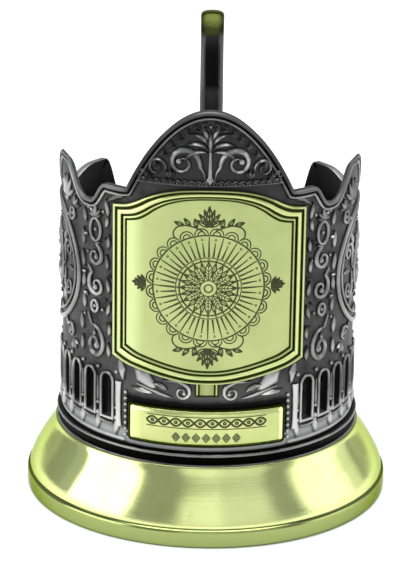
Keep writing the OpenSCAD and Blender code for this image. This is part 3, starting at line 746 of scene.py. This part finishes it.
def castSleeve(name):
    # The sleeve: grey ground, darker in the crest, with a dark line of painted contact shadow where relief
    # begins, and rubbed bright on its tops; painted shadow over the name plate, a painted highlight on the
    # back rim's top edge, and the bore painted near black as shade
    f = Finish(name, grey(0.12))
    tone = sleeveTones
    up = f.z
    polishAndHighlight = f.attribute("polishAndHighlight")
    cloud = f.noise(240.0, 5.0, 0.6)
    patch = f.noise(70.0, 3.0, 0.5)
    grain = f.noise(2600.0, 3.0, 0.7)
    stir = cloud - 0.5
    rise = f.out - holder["wallR"]

    def past(value, mask):
        return f.between(value, *sleeveMasks[mask])

    def before(value, mask):
        return 1.0 - past(value, mask)

    # a polish over 1.2 marks the back rim's top edge, painted bright as a highlight
    edge = f.between(polishAndHighlight, 1.2, 1.9)
    crest = past(up + stir * 3.0, "crest")
    rub = past(rise + stir * 0.3, "rubbed") * polishAndHighlight * (1.0 - crest * 0.1)
    rub = (rub + edge).clamp()
    front = before(f.y, "front") * before(up + stir * 4.0, "frontTop")
    # painted shadow on the ground just over the name plate
    plateShadow = before(up + stir, "plateShadow") * before(f.x.size(), "besidePlate")
    arcade = past(up, "arcadeFoot") * before(up, "arcadeTop") * past(f.y, "arcade")
    ground = f.blend(f.between(cloud, 0.3, 0.7), tone["dark"], tone["pale"])
    ground = f.blend(crest, ground, tone["crest"])
    ground = f.blend(front * 0.6, ground, tone["front"])
    ground = f.blend(front * plateShadow, ground, tone["plateShadow"])
    ground = f.blend(arcade * 0.75, ground, tone["arcade"])
    ground = f.blend(before(up, "lowBand") * 0.9, ground, tone["lowBand"])
    # a dark line at the foot of relief, painted as contact shadow
    line = past(rise, "contactShadeStart") * before(rise, "contactShadeEnd")
    line = line * f.between(up, *sleeveMasks["contactShadeUp"], 0.45, 1.0)
    colour = f.blend((line * 0.95).clamp(), ground, tone["line"])
    bright = f.blend(f.between(patch, 0.35, 0.65), tone["rubbedDark"], tone["rubbedPale"])
    bright = f.blend(before(up + stir * 3.0, "low") * 0.5, bright, tone["rubbedLow"])
    bright = f.blend(front * 0.6, bright, tone["rubbedFront"])
    colour = f.blend(f.between(rub, 0.08, 0.7), colour, bright)
    # the bore is painted near black as shade, deepest low down and lighter towards the front
    boreShade = f.blend(past(up + (patch - 0.5) * 30.0, "boreUp"), tone["boreShadeLow"], tone["boreShadeHigh"])
    boreShade = f.blend(past(f.y + stir * 20.0, "boreShadeFront"), tone["boreShadeFront"], boreShade)
    colour = f.blend(before(f.out, "inside") * (1.0 - edge), colour, boreShade)
    rough = f.between(rub, 0.0, 1.0, 0.55, 0.32) + (grain - 0.5) * 0.12
    return f.connect(colour, rough.clamp(), grain + cloud * 0.8, 0.00006)


def gilded(name, light, deep, grooveShade, sheen, rough):
    # Gilded sheet: pale greenish metal with a painted sheen along its left side. Its "shade" is 1 where
    # grooves are painted black as shade, 0 where it is plain and -1 where bevels are painted lighter as a
    # highlight
    f = Finish(name, light, roughness=rough)
    shade = f.attribute("shade")
    cloud = f.noise(110.0, 4.0, 0.55, 0.4)
    fine = f.noise(2400.0, 2.0, 0.6)
    upright = f.node("ShaderNodeMapping", None, Vector=f.place, Scale=(1.0, 1.0, 9.0))
    brushed = f.noise(700.0, 3.0, 0.6, 0.0, upright)
    colour = f.blend(f.between(cloud, 0.3, 0.75), deep, light)
    # bevels painted lighter as a highlight
    colour = f.blend(f.between(shade, -1.0, 0.0, 1.0, 0.0), colour, scaled(light, 1.6))
    # a painted sheen along the left side
    colour = f.blend(f.between(f.x + (cloud - 0.5) * 3.0, -17.2, -14.6), sheen, colour)
    # grooves painted dark as shade
    colour = f.blend(f.between(shade + (brushed - 0.5) * 0.2, 0.1, 0.8), colour, grooveShade)
    roughness = f.between(cloud, 0.3, 0.7, rough + 0.08, rough - 0.04) + (brushed - 0.5) * 0.12 + shade * 0.15
    return f.connect(colour, roughness.clamp(), fine * 0.6 + brushed, 0.00003)


brassTones = {
    "plain": (0.70, 0.78, 0.33), "deep": (0.62, 0.69, 0.28), "light": (0.74, 0.82, 0.36),
    "band": (0.32, 0.375, 0.134), "dirt": (0.035, 0.04, 0.012), "spots": (0.20, 0.22, 0.08),
    "glancing": (0.45, 0.5, 0.29),  # tint of what it mirrors at a low angle
}


def spunBrass(name):
    # Foot: turning lines round the axis, polished, painted darker on the bottom band as shade, with dirt
    # against the collar
    f = Finish(name, brassTones["plain"], roughness=0.15)
    tone = brassTones
    f.shader.inputs["Specular Tint"].default_value = (*tone["glancing"], 1)
    rings = f.lines(f.z * 3.1 + f.out * 2.3, 4.0, 5.0, 0.7)
    cloud = f.noise(55.0, 5.0, 0.62, 0.8)
    spots = f.noise(420.0, 3.0, 0.7)
    dirt = f.between(f.z + (cloud - 0.5) * 0.8, 16.7, 17.3) * 0.7
    seam = 1.0 - f.between((f.z - 4.4).size(), 0.05, 0.4)
    band = 1.0 - f.between(f.z, 4.2, 4.5)
    colour = f.blend(f.between(cloud, 0.35, 0.7), tone["deep"], tone["light"])
    # the bottom band is painted darker as shade
    colour = f.blend(band, colour, tone["band"])
    colour = f.blend((dirt + seam * 0.8).clamp(), colour, tone["dirt"])
    colour = f.blend(f.between(spots, 0.66, 0.78) * 0.3, colour, tone["spots"])
    roughness = f.between(cloud, 0.3, 0.7, 0.14, 0.08) + dirt * 0.3 + (rings - 0.5) * 0.06
    return f.connect(colour, roughness.clamp(), rings + spots * 0.15, 0.00002)


def darkLine(name, colour):
    # The dark filling of engraved lines
    f = Finish(name, colour, metallic=0.3, roughness=0.5)
    speck = f.noise(1800.0, 3.0, 0.7)
    shade = f.blend(speck, scaled(colour, 0.6), scaled(colour, 1.5))
    return f.connect(shade, (0.42 + speck * 0.2).clamp(), speck, 0.00002, 0.4)


def plainSteel(name):
    # The screw, the washer and the nut: turned, with worn patches
    f = Finish(name, grey(0.5), roughness=0.35)
    wear = f.noise(500.0, 4.0, 0.6)
    rings = f.lines(f.out, 6.0, 3.0)
    colour = f.blend(wear, (0.30, 0.29, 0.28), (0.62, 0.62, 0.61))
    return f.connect(colour, (0.25 + wear * 0.25).clamp(), rings + wear * 0.4, 0.00003, 0.4)


finishes = {
    "sleeve": castSleeve("blackened silver"),
    "handle": blackenedSilver("blackened handle", (20.0, 130.0), 1.4, grey(0.003), grey(0.01),
        grey(0.07, 0.069), (0.025, 0.03, 0.0065)),
    "collar": blackenedSilver("blackened collar", (35.75, 36.3), 1.2, grey(0.002), grey(0.01),
        grey(0.21, 0.206)),
    "floor": blackenedSilver("blackened floor", (-40.0, 60.0), 0.8, grey(0.01), grey(0.03),
        grey(0.09, 0.088)),
    "rivets": blackenedSilver("blackened rivets", (36.2, 38.4), 1.6, grey(0.03), grey(0.14, 0.137),
        grey(0.5, 0.49)),
    "foot": spunBrass("spun brass"),
    "shield": gilded("gilded shield", (0.42, 0.47, 0.2), (0.37, 0.42, 0.172), (0.022, 0.028, 0.003),
        (0.53, 0.59, 0.275), 0.36),
    "namePlate": gilded("gilded name plate", (0.53, 0.59, 0.24), (0.46, 0.515, 0.2), (0.02, 0.026, 0.002),
        (0.66, 0.73, 0.32), 0.34),
    "engraved": darkLine("engraved lines", (0.032, 0.038, 0.005)),
    "steel": plainSteel("plain steel"),
}
print("finishes made")
makeSleeveWall(finishes["sleeve"])
makeSleeveRelief(finishes["sleeve"])


# profiles as (radius, height): the foot's goes up from the table, in to the screw, and back down inside
foot = {
    "band": [(42.3, 0.0), (42.95, 0.0), (43.35, 0.12), (43.54, 0.4), (43.6, 0.9), (43.6, 2.2), (43.6, 3.5),
        (43.53, 3.95), (43.3, 4.2), (43.0, 4.28), (42.9, 4.42)],
    "bell": [(42.98, 4.62), (42.85, 5.4), (42.35, 7.0), (41.4, 8.9), (40.25, 10.9), (39.05, 12.8),
        (37.95, 14.5), (37.1, 15.9), (36.65, 17.0)],
    "top": [(36.5, 17.2), (36.3, 17.3), (34.0, 17.3), (20.0, 17.3), (2.06, 17.3), (2.06, 16.3),
        (20.0, 16.3), (33.8, 16.3), (35.0, 16.2), (35.6, 15.7)],
    "inside": [(36.0, 15.0), (37.0, 13.6), (38.2, 11.8), (39.4, 9.9), (40.5, 8.1), (41.4, 6.4), (42.0, 5.0),
        (42.25, 3.6), (42.3, 1.6), (42.3, 0.3)],
}
collar = {
    # a fillet on the foot and a deep dark cove; a fine bead; its seat against the sleeve
    "cove": [(34.96, 17.31), (36.2, 17.31), (36.3, 17.42), (36.24, 17.6), (35.9, 17.72), (35.68, 17.9),
        (35.58, 18.2), (35.56, 18.8), (35.6, 19.3), (35.7, 19.48)],
    "bead": (35.95, 19.88), "beadR": (0.42, 0.4),
    "seat": [(35.8, 20.34), (35.6, 20.42), (35.55, 20.5), (35.5, 20.58), (34.96, 20.6)],
}
floorPlate = {
    # shallow turned steps, a raised rim for the glass, and a countersink for the screw
    "profile": [(34.85, 17.32), (34.85, 18.66), (33.3, 18.7), (33.0, 18.7), (27.4, 18.7), (27.1, 18.5),
        (26.2, 18.45), (25.9, 18.62), (25.6, 18.7), (14.0, 18.7), (13.8, 18.56), (13.2, 18.56),
        (13.0, 18.7), (4.3, 18.7), (3.86, 18.6), (3.86, 17.92), (2.06, 17.92), (2.06, 17.32)],
}


def turnedPiece(name, profile, steps, finish, slot, node, sharp):
    body = Surface()
    body.grid(turned(profile, steps), loopRows=True, loopCols=True)
    body.piece(name, finishes[finish], slot, [node], sharp=sharp)


bell = np.concatenate([foot["band"], smoothed(foot["bell"], 5), foot["top"], smoothed(foot["inside"], 3)])
turnedPiece("foot_bell", bell, 256, "foot", "polished_foot", "foot", 50)
bead = np.array(collar["bead"]) + onCircle(9, -75, 150) * collar["beadR"]
moulding = np.concatenate([collar["cove"], bead, collar["seat"]])
turnedPiece("collar_moulding", moulding, 256, "collar", "blackened_collar", "collar_ring", 50)
turnedPiece("floor_plate", floorPlate["profile"], 192, "floor", "blackened_floor", "floor_disc", 40)


shield = {
    "halfW": 22.0, "low": 42.0, "high": 78.3, "rise": 5.6, "drop": 4.5, "middle": (0.0, 60.5), "fill": 0.14,
    "topShares": [(1, 0), (0.92, 0.05), (0.84, 0.13), (0.75, 0.30), (0.64, 0.55), (0.5, 0.77), (0.33, 0.92),
        (0.15, 0.985), (0, 1)],
    "lowShares": [(0, 1), (0.15, 0.98), (0.3, 0.90), (0.5, 0.73), (0.7, 0.52), (0.85, 0.34), (0.95, 0.13),
        (1, 0)],
    # inset from the edge, radius and shade: a lip, a broad ridge and a thin one, painted lighter as a
    # highlight, with grooves painted dark as shade between them
    "frame": [(0.0, 34.97, 0.9), (0.0, 35.9, 0.5), (0.12, 36.16, -0.2), (0.36, 36.22, -0.2),
        (0.52, 36.1, 0.4), (0.62, 35.92, 1), (0.98, 35.9, 1), (1.1, 36.15, 0.4), (1.26, 36.38, -0.4),
        (1.56, 36.44, -0.5), (1.86, 36.36, -0.3), (2.02, 36.1, 0.5), (2.12, 35.92, 1), (2.42, 35.9, 1),
        (2.52, 36.05, 0.3), (2.68, 36.1, 0), (2.86, 36.02, 0.3), (2.96, 35.86, 1), (3.28, 35.84, 1),
        (3.4, 35.86, 0.1), (3.6, 35.86, 0)],
    "tabHalfW": 2.8, "tabLow": 34.4, "tabHigh": 38.6, "tabDark": 0.4,
    # place across the tab as a share of its half width, radius and shade
    "tab": [(-1, 34.97, 1), (-1, 35.4, 1), (-0.9, 35.62, 1), (-0.85, 35.75, 0.3), (-0.76, 35.78, 0),
        (-0.7, 35.6, 0.9), (-0.6, 35.52, 0.9), (-0.54, 35.56, 0.35), (0, 35.62, 0.22), (0.54, 35.56, 0.35),
        (0.6, 35.52, 0.9), (0.7, 35.6, 0.9), (0.76, 35.78, 0), (0.85, 35.75, 0.3), (0.9, 35.62, 1),
        (1, 35.4, 1), (1, 34.97, 1)],
}


def shieldOutline(inset, count=52):
    # Corners that rise into an arched top, and a curved bottom, drawn in by inset: a little less on the dome
    d = shield
    half = d["halfW"] - inset
    x, y = np.array(d["topShares"]).T
    top = np.stack([half * x, d["high"] - inset * (0.98 - 0.28 * y) + d["rise"] * y], -1)
    x, y = np.array(d["lowShares"]).T
    low = np.stack([half * x, d["low"] + inset - d["drop"] * y], -1)
    top, low = even(smoothed(top, 6), count), even(smoothed(low, 6), count)
    topLine = np.vstack([top, (top * (-1, 1))[::-1][1:]])
    lowLine = np.vstack([(low * (-1, 1))[::-1], low[1:]])
    t = np.linspace(0, 1, count)[1:-1, None]
    left = topLine[-1] + (lowLine[0] - topLine[-1]) * t
    right = lowLine[-1] + (topLine[0] - lowLine[-1]) * t
    return np.concatenate([topLine, left, lowLine, right])


def makePlate(name, outline, plate, finish, slot, node):
    # A plate bent round the sleeve: rings of its outline over the frame and in to the middle, and a back
    middle = np.array(plate["middle"])
    stack = [(outline(inset), r, shade) for inset, r, shade in plate["frame"]]
    face, faceR = stack[-1][:2]
    for share in (0.82, 0.62, 0.42, 0.22, 0.08, 0.0):
        stack.append((middle + (face - middle) * share, faceR + plate["fill"] * (1 - share**2), 0))
    body = Surface()
    rings = np.stack([flatAcross(o[:, 0], o[:, 1], r) for o, r, shade in stack])
    body.grid(rings, loopCols=True, value=np.array([shade for o, r, shade in stack])[:, None])
    edge = outline(0.0)
    under = [middle + (edge - middle) * share for share in (1.0, 0.8, 0.6, 0.4, 0.2, 0.0)]
    back = np.stack([flatAcross(o[:, 0], o[:, 1], holder["plateBackR"]) for o in under])
    body.grid(back, loopCols=True, value=1.0)
    body.piece(name, finishes[finish], slot, [node], sharp=42, attribute="shade")


def makeShieldTab():
    # The tab under the shield: its section carried straight down, with painted shade at its lower end
    d = shield
    z = np.linspace(d["tabLow"], d["tabHigh"], 17)[:, None]
    x, r, shade = (column[None, :] for column in np.array(d["tab"]).T)
    dark = np.maximum(shade, np.where(z < d["tabLow"] + d["tabDark"], 1.0, 0.0))
    rows = capped(flatAcross(x * d["tabHalfW"], z, r))
    tab = Surface()
    tab.grid(rows, loopCols=True, value=np.vstack([dark[:1], dark, dark[-1:]]))
    tab.piece("shield_tab", finishes["shield"], "gilded_plate", ["cartouche_plate"], 42, "shade")


engraving = {
    "faceR": 35.98, "tall": 0.07, "sink": 0.12, "line": 0.18, "fine": 0.13, "middle": (0.0, 60.8),
    "rays": 48, "scallops": 24,
    "rings": [(0.9, 0.24), (1.9, 0.2), (6.5, 0.24), (7.3, 0.16), (12.6, 0.22)],  # radius and half width
}


def makeShieldEngraving():
    # Fine dark lines on the shield's face: a rayed rosette in a scalloped ring, with a palmette on each side
    d = engraving
    lines = Surface()
    middle = np.array(d["middle"])

    def line(path, half=d["line"], closed=False):
        ribbon(lines, path, half, d["tall"], "round", 5, d["faceR"], d["sink"], closed)

    def petal(start, heading, length, half, veins=0):
        rib = curl(start, heading, length, 0, 0, count=14)
        off = beside(rib) * (half * np.sin(math.pi * np.linspace(0, 1, 14) ** 0.8))[:, None]
        line(rib, d["fine"])
        for way in (-1, 1):
            line(rib + off * way)
            for k in np.linspace(2, 9, veins).astype(int):
                line(np.linspace(rib[k], (rib + off * way * 0.9)[k + 2], 3), d["fine"])

    for radius, half in d["rings"]:
        line(middle + radius * onCircle(60), half, True)
    for k, way in enumerate(onCircle(24)):
        if k % 2:
            petal(middle + 3.4 * way, k * 15, 2.9, 0.42)
        else:
            petal(middle + 2.0 * way, k * 15, 4.3, 0.85, 4)
        line(middle + 6.9 * way + 0.14 * onCircle(8), 0.12, True)
    for k, way in enumerate(onCircle(d["rays"])):
        reach = (12.3, 10.9)[k % 2]
        line(middle + np.linspace(7.5, reach, 6)[:, None] * way, np.linspace(0.32, 0.13, 6))
        if k % 2:
            line(middle + 11.6 * way + 0.22 * onCircle(8), 0.1, True)
    step = 360 / d["scallops"]
    for k, way in enumerate(onCircle(d["scallops"], step / 2)):
        for radius in (1.5, 0.8):
            line(middle + 12.75 * way + radius * onCircle(12, (k + 0.5) * step - 88, 176), 0.17)
    for k, way in enumerate(onCircle(4)):
        makePalmette(middle, k * 90, way, k % 2, petal, line)
    lines.piece("shield_engraving", finishes["engraved"], "gilded_plate", [], sharp=60)


def makePalmette(middle, heading, way, upright, petal, line):
    # Seven petals in a fan; the upper and lower ones are larger and have a leafy stem on each side
    base = middle + (14.6 if upright else 14.4) * way
    long, broad, veins = (4.4, 0.5, 2) if upright else (2.9, 0.36, 0)
    for swing in (-64, -38, -16, 16, 38, 64):
        petal(base, heading + swing, long * (1 - abs(swing) / 260), broad, veins)
    petal(base, heading, 4.8 if upright else 3.2, 0.6, 3)
    for flip in (-1, 1) if upright else ():
        stem = curl((1.4, 13.6), 24, 9.5, -0.02, -0.85, 1.6, 40) * (flip, way[1]) + middle
        line(stem, 0.2)
        for at, swing in ((6, 58), (12, 40), (18, 24)):
            across, up = stem[at + 1] - stem[at]
            petal(stem[at], math.degrees(math.atan2(up, across)) + swing * flip * way[1], 2.3, 0.42, 2)


namePlate = {
    "halfW": 18.2, "low": 21.8, "high": 31.2, "corner": 0.9, "middle": (0.0, 26.5), "fill": 0.01,
    # inset, radius and shade: a low step with its fillet painted dark as shade, then the raised box with a
    # bevelled edge painted lighter as a highlight
    "frame": [(0.0, 34.97, 1), (0.0, 35.62, 1), (0.08, 35.8, 1), (0.22, 35.84, 0.9), (0.36, 35.8, 1),
        (0.42, 35.66, 1), (0.48, 35.68, 1), (0.54, 35.8, 0.1), (0.6, 35.86, -1), (1.15, 36.26, -1),
        (1.3, 36.33, 0), (1.9, 36.35, 0)],
    "lineR": 36.36, "tall": 0.07, "sink": 0.12, "line": 0.2,
    "braidZ": 28.1, "braidHalfW": 13.6, "eyes": 10, "lozengeZ": 24.5, "lozengeStep": 2.25,
}


def roundedBox(inset, perCorner=6, perSide=(40, 14)):
    # The plate's outline, with small round corners, drawn in by inset
    d = namePlate
    w, low, high = d["halfW"] - inset, d["low"] + inset, d["high"] - inset
    radius = max(d["corner"] - inset * 0.5, 0.25)
    corners = [(w, high), (-w, high), (-w, low), (w, low)]
    out = []
    for k, (x, z) in enumerate(corners):
        centre = np.array([x - radius * np.sign(x), z - radius * (1 if z == high else -1)])
        out.append(centre + radius * onCircle(perCorner, 90 * k, 90))
    loop = []
    for k in range(4):
        a, b = out[k][-1], out[(k + 1) % 4][0]
        loop += [out[k], a + (b - a) * np.linspace(0, 1, perSide[k % 2])[1:-1, None]]
    return np.concatenate(loop)


def makeBraid():
    # Two rows of fine dark ornament: a braid of two waves with dots in its eyes, and a row of lozenges
    d = namePlate
    lines = Surface()

    def line(path, half=d["line"], closed=False):
        ribbon(lines, path, half, d["tall"], "round", 5, d["lineR"], d["sink"], closed)

    x = np.linspace(-d["braidHalfW"], d["braidHalfW"], 180)
    eye = 2 * d["braidHalfW"] / d["eyes"]
    for way in (-1, 1):
        line(np.stack([x, d["braidZ"] + way * 0.9 * np.sin(x * math.pi / eye)], -1), 0.33)
        line(np.stack([x, np.full(180, d["braidZ"] + way * 1.4)], -1), 0.15)
    for k in range(d["eyes"]):
        line(np.array([(k + 0.5) * eye - d["braidHalfW"], d["braidZ"]]) + 0.3 * onCircle(8), 0.26, True)
    for k in range(-3, 4):
        for size in (1.0, 0.45):
            lozenge = onCircle(4) * (0.85 * size, 1.05 * size) + (k * d["lozengeStep"], d["lozengeZ"])
            line(even(np.vstack([lozenge, lozenge[:1]]), 17)[:-1], 0.2, True)
    lines.piece("name_plate_braid", finishes["engraved"], "gilded_name_plate", [], sharp=60)


makePlate("shield_plate", shieldOutline, shield, "shield", "gilded_plate", "cartouche_plate")
makeShieldTab()
makeShieldEngraving()
makePlate("name_plate_box", roundedBox, namePlate, "namePlate", "gilded_name_plate", "name_plate")
makeBraid()


handle = {
    "reach": 64.0, "top": 103.0, "loopTop": 84.0, "upperPad": 54.5, "lowerPad": 28.5,
    # the loop from the upper pad to the lower: shares of its reach, and of its height over the lower pad
    "loop": [(0, 0.52), (0.04, 0.60), (0.08, 0.72), (0.16, 0.85), (0.30, 0.95), (0.48, 1), (0.66, 0.98),
        (0.80, 0.91), (0.89, 0.80), (0.92, 0.66), (0.91, 0.52), (0.87, 0.38), (0.79, 0.25), (0.68, 0.14),
        (0.53, 0.06), (0.34, 0.01), (0.15, 0), (0, 0)],
    # the stalk of the thumb rest: shares of the reach, and of the height over the loop's top
    "stalk": [(0.52, -0.12), (0.55, 0.12), (0.575, 0.36), (0.62, 0.58), (0.75, 0.78), (0.93, 0.915)],
    # half widths, half thicknesses and roundness of the loop and of the stalk, and the curled tip's half
    "loopHalf": 3.0, "loopDeep": 2.2, "loopRound": 2.6, "stalkDeep": 3.4, "stalkRound": 2.8, "tipHalf": 1.5,
    # the curled tip, and a scroll on each side of the stalk: start in the stalk's shares, heading, length,
    # bends and their power, points, half widths, half thicknesses and roundness
    "curls": [
        ((0.858, 0.925), 30, 5.6, -0.10, -0.9, 1.4, 26, (2.95, 2.6), (1.45, 0.9), 2.4),
        ((0.50, -0.14), 205, 9.5, 0.16, 0.95, 1.2, 34, (2.6, 2.2), (1.5, 0.7), 2.2),
        ((0.80, -0.42), 40, 8.5, 0.16, 1.0, 1.3, 34, (2.5, 2.1), (1.5, 0.7), 2.2),
    ],
    # the pads, with the insets and radii of their crowned outline; the rivets
    "padHalfW": 6.5, "padH": 11.0, "padRound": 0.55,
    "pad": [(0, 36.1), (0.15, 36.4), (0.5, 36.54), (1.2, 36.56), (2.6, 36.58), (4.6, 36.6), (6.2, 36.6)],
    "rivetX": 4.41, "headR": 1.9, "headH": 1.5, "shankR": 1.25, "seatY": 36.0, "shankEndY": 33.42,
}


def superellipse(t, power):
    # x and y on the curve |x| ** power + |y| ** power = 1, at the angles t
    return [np.sign(v) * np.abs(v) ** (2 / power) for v in (np.cos(t), np.sin(t))]


def sweptBar(surface, path, halfAcross, halfDeep, power, steps=20):
    # A bar along a path in the plane of the handle: a superellipse, halfAcross by halfDeep, at each point
    path = np.asarray(path, float)
    n = len(path)
    a, b = np.broadcast_to(halfAcross, n)[:, None], np.broadcast_to(halfDeep, n)[:, None]
    x, y = superellipse((np.arange(steps) / steps * 2 * math.pi)[None, :], power)
    side = beside(path)
    body = np.stack([a * x, path[:, :1] + side[:, :1] * b * y, path[:, 1:] + side[:, 1:] * b * y], -1)
    surface.grid(capped(body), loopCols=True)


def makeHandle():
    # The loop, the stalk of the thumb rest with its curled tip, a scroll on each side of it, and the two pads
    body = Surface()
    h = handle
    wallR = holder["wallR"]
    reach, loopH, rise = h["reach"] - wallR, h["loopTop"] - h["lowerPad"], h["top"] - h["loopTop"]

    def place(across, up):
        return wallR + reach * across, h["loopTop"] + rise * up

    loop = even(smoothed([(wallR + reach * a, h["lowerPad"] + loopH * b) for a, b in h["loop"]], 8), 120)
    # the loop is thickest halfway, by a sine, and thinner by a Gaussian where it leaves the upper pad
    t = np.linspace(0, 1, 120)
    arch = np.sin(math.pi * t)
    swell = 1 + 0.16 * arch - 0.18 * np.exp(-(t / 0.05) ** 2)
    sweptBar(body, loop, h["loopHalf"] * (0.92 + 0.08 * arch), h["loopDeep"] * swell, h["loopRound"])
    stalk = even(smoothed([place(*spot) for spot in h["stalk"]], 10), 60)
    # the stalk thins upwards by a sine, with a Gaussian bulge close to its tip
    t = np.linspace(0, 1, 60)
    deep = h["stalkDeep"] - 2.1 * np.sin(t * math.pi / 2) ** 0.8 + 0.6 * np.exp(-((t - 0.97) / 0.07) ** 2)
    sweptBar(body, stalk, h["loopHalf"] - 0.1 * np.sin(math.pi * t), deep, h["stalkRound"])
    for spot, *bends, count, across, thick, power in h["curls"]:
        path = curl(place(*spot), *bends, count)
        # the tip stays level under the top
        path[:, 1] = np.minimum(path[:, 1], h["top"] - h["tipHalf"])
        sweptBar(body, path, np.linspace(*across, count), np.linspace(*thick, count), power)
    backR, faceR = holder["plateBackR"], h["pad"][-1][1]
    x, z = superellipse(np.linspace(0, 2 * math.pi, 49)[:-1], 2 / h["padRound"])
    for padZ in (h["upperPad"], h["lowerPad"]):
        rings = []
        for inset, r in [(0, backR)] + h["pad"]:
            across = (h["padHalfW"] - inset) * x
            up = padZ + (h["padH"] / 2 - min(inset, 5.4)) * z
            rings.append(np.stack([across, np.sqrt(r**2 - across**2), up], -1))
        ends = [np.broadcast_to(np.array([0.0, r, padZ]), rings[0].shape) for r in (backR, faceR)]
        body.grid(np.stack([ends[0]] + rings + [ends[1]]), loopCols=True)
    body.piece("handle_casting", finishes["handle"], "blackened_handle", ["handle"], sharp=45)


def makeRivets():
    # Domed heads on the pads, each with its shank through the wall
    heads = Surface()
    h = handle
    e = np.linspace(0, math.pi / 2, 6)
    # radius and place back of each ring: the dome, its skirt, the shank and the shank's end
    dome = [(h["headR"] * math.sin(k), h["seatY"] + 0.3 + h["headH"] * math.cos(k)) for k in e]
    rings = dome + [(h["headR"], h["seatY"]), (h["shankR"], h["seatY"]), (h["shankR"], h["shankEndY"]),
        (0.0, h["shankEndY"])]
    r, y = (column[:, None] for column in np.array(rings).T)
    a = (np.arange(24) / 24 * 2 * math.pi)[None, :]
    for x in (-h["rivetX"], h["rivetX"]):
        for z in (h["upperPad"], h["lowerPad"]):
            heads.grid(np.stack([x + r * np.cos(a), y + 0 * a, z + r * np.sin(a)], -1), loopCols=True)
    heads.piece("rivet_heads", finishes["rivets"], "blackened_rivets", ["handle_rivets"], sharp=40)


makeHandle()
makeRivets()

# the fasteners keep their solids, with a finish of their own
fasteners = {
    "foot_screw": "steel", "foot_washer": "steel", "foot_nut": "steel", "cartouche_pins": "shield",
    "name_plate_pins": "namePlate",
}
for part in [part for part in bpy.data.objects if part.type == "MESH" and part.name in fasteners]:
    finish = finishes[fasteners[part.name]]
    if not part.material_slots:
        part.data.materials.append(finish)
    for slot in part.material_slots:
        slot.material = finish
    print(part.name, "finished")

studio = {
    # millimetres, degrees and the lens
    "distance": 650.0, "elevation": 18.6, "aim": 49.8, "roll": 0.9, "lens": 171.6,
    "floorHalf": 3.0, "floorColour": (0.93, 0.93, 0.93), "skyColour": (0.9, 0.92, 0.95), "skyPower": 0.45,
    # place, the height that it faces, width and height in metres, and power
    "lights": {
        "left softbox": ((-0.640, -0.206, 0.33), 0.33, (0.537, 0.64), 2.95),
        "left panel": ((-0.664, 0.105, 0.33), 0.33, (0.141, 0.64), 0.03),
        "right softbox": ((0.739, -0.045, 0.33), 0.33, (0.524, 0.64), 1.57),
        "right panel": ((0.684, 0.283, 0.33), 0.33, (0.169, 0.64), 0.22),
        "front softbox": ((0.183, -0.72, 0.36), 0.36, (0.9, 0.66), 0.96),
        "front strip": ((-0.038, -0.72, 0.36), 0.36, (0.36, 0.66), 0.185),
        "left back panel": ((-0.371, 0.594, 0.33), 0.33, (0.62, 0.64), 0.22),
        "right back panel": ((0.371, 0.594, 0.33), 0.33, (0.62, 0.64), 0.28),
        "top softbox": ((0.0, 0.1, 0.8), 0.05, (0.7, 0.7), 9.0),
    },
}


def placed(name, data, place=(0, 0, 0)):
    made = bpy.data.objects.new(name, data)
    made.location = place
    bpy.context.scene.collection.objects.link(made)
    return made


def makeStudioFloor():
    edge = studio["floorHalf"]
    mesh = bpy.data.meshes.new("studio_floor")
    corners = [(-edge, -edge, 0), (edge, -edge, 0), (edge, edge, 0), (-edge, edge, 0)]
    mesh.from_pydata(corners, [], [(0, 1, 2, 3)])
    mesh.materials.append(Finish("pale floor", studio["floorColour"], metallic=0.0, roughness=0.9).material)
    floor = placed("studio_floor", mesh)


def softLight(name, place, aimZ, size, power):
    lamp = bpy.data.lights.new(name, "AREA")
    lamp.shape = "RECTANGLE"
    lamp.size, lamp.size_y = size
    lamp.energy = power
    way = mathutils.Vector((0, 0, aimZ)) - mathutils.Vector(place)
    placed(name, lamp, place).rotation_euler = way.to_track_quat("-Z", "Y").to_euler()


def makeCamera():
    distance, up = studio["distance"] * millimetre, math.radians(studio["elevation"])
    aim = mathutils.Vector((0, 0, studio["aim"] * millimetre))
    lens = bpy.data.cameras.new("camera")
    lens.lens, lens.sensor_width = studio["lens"], 36.0
    lens.clip_start, lens.clip_end = 0.01, 50
    camera = placed("camera", lens, aim + mathutils.Vector((0, -math.cos(up), math.sin(up))) * distance)
    roll = mathutils.Quaternion((0, 0, 1), math.radians(studio["roll"]))
    camera.rotation_euler = ((aim - camera.location).to_track_quat("-Z", "Y") @ roll).to_euler()
    bpy.context.scene.camera = camera


def makeSky():
    world = bpy.data.worlds.new("studio")
    world.use_nodes = True
    background = world.node_tree.nodes["Background"]
    background.inputs["Color"].default_value = (*studio["skyColour"], 1)
    background.inputs["Strength"].default_value = studio["skyPower"]
    bpy.context.scene.world = world
    bpy.context.scene.view_settings.view_transform = "Standard"


makeStudioFloor()
for name, light in studio["lights"].items():
    softLight(name, *light)
makeSky()
makeCamera()
print("stage made")
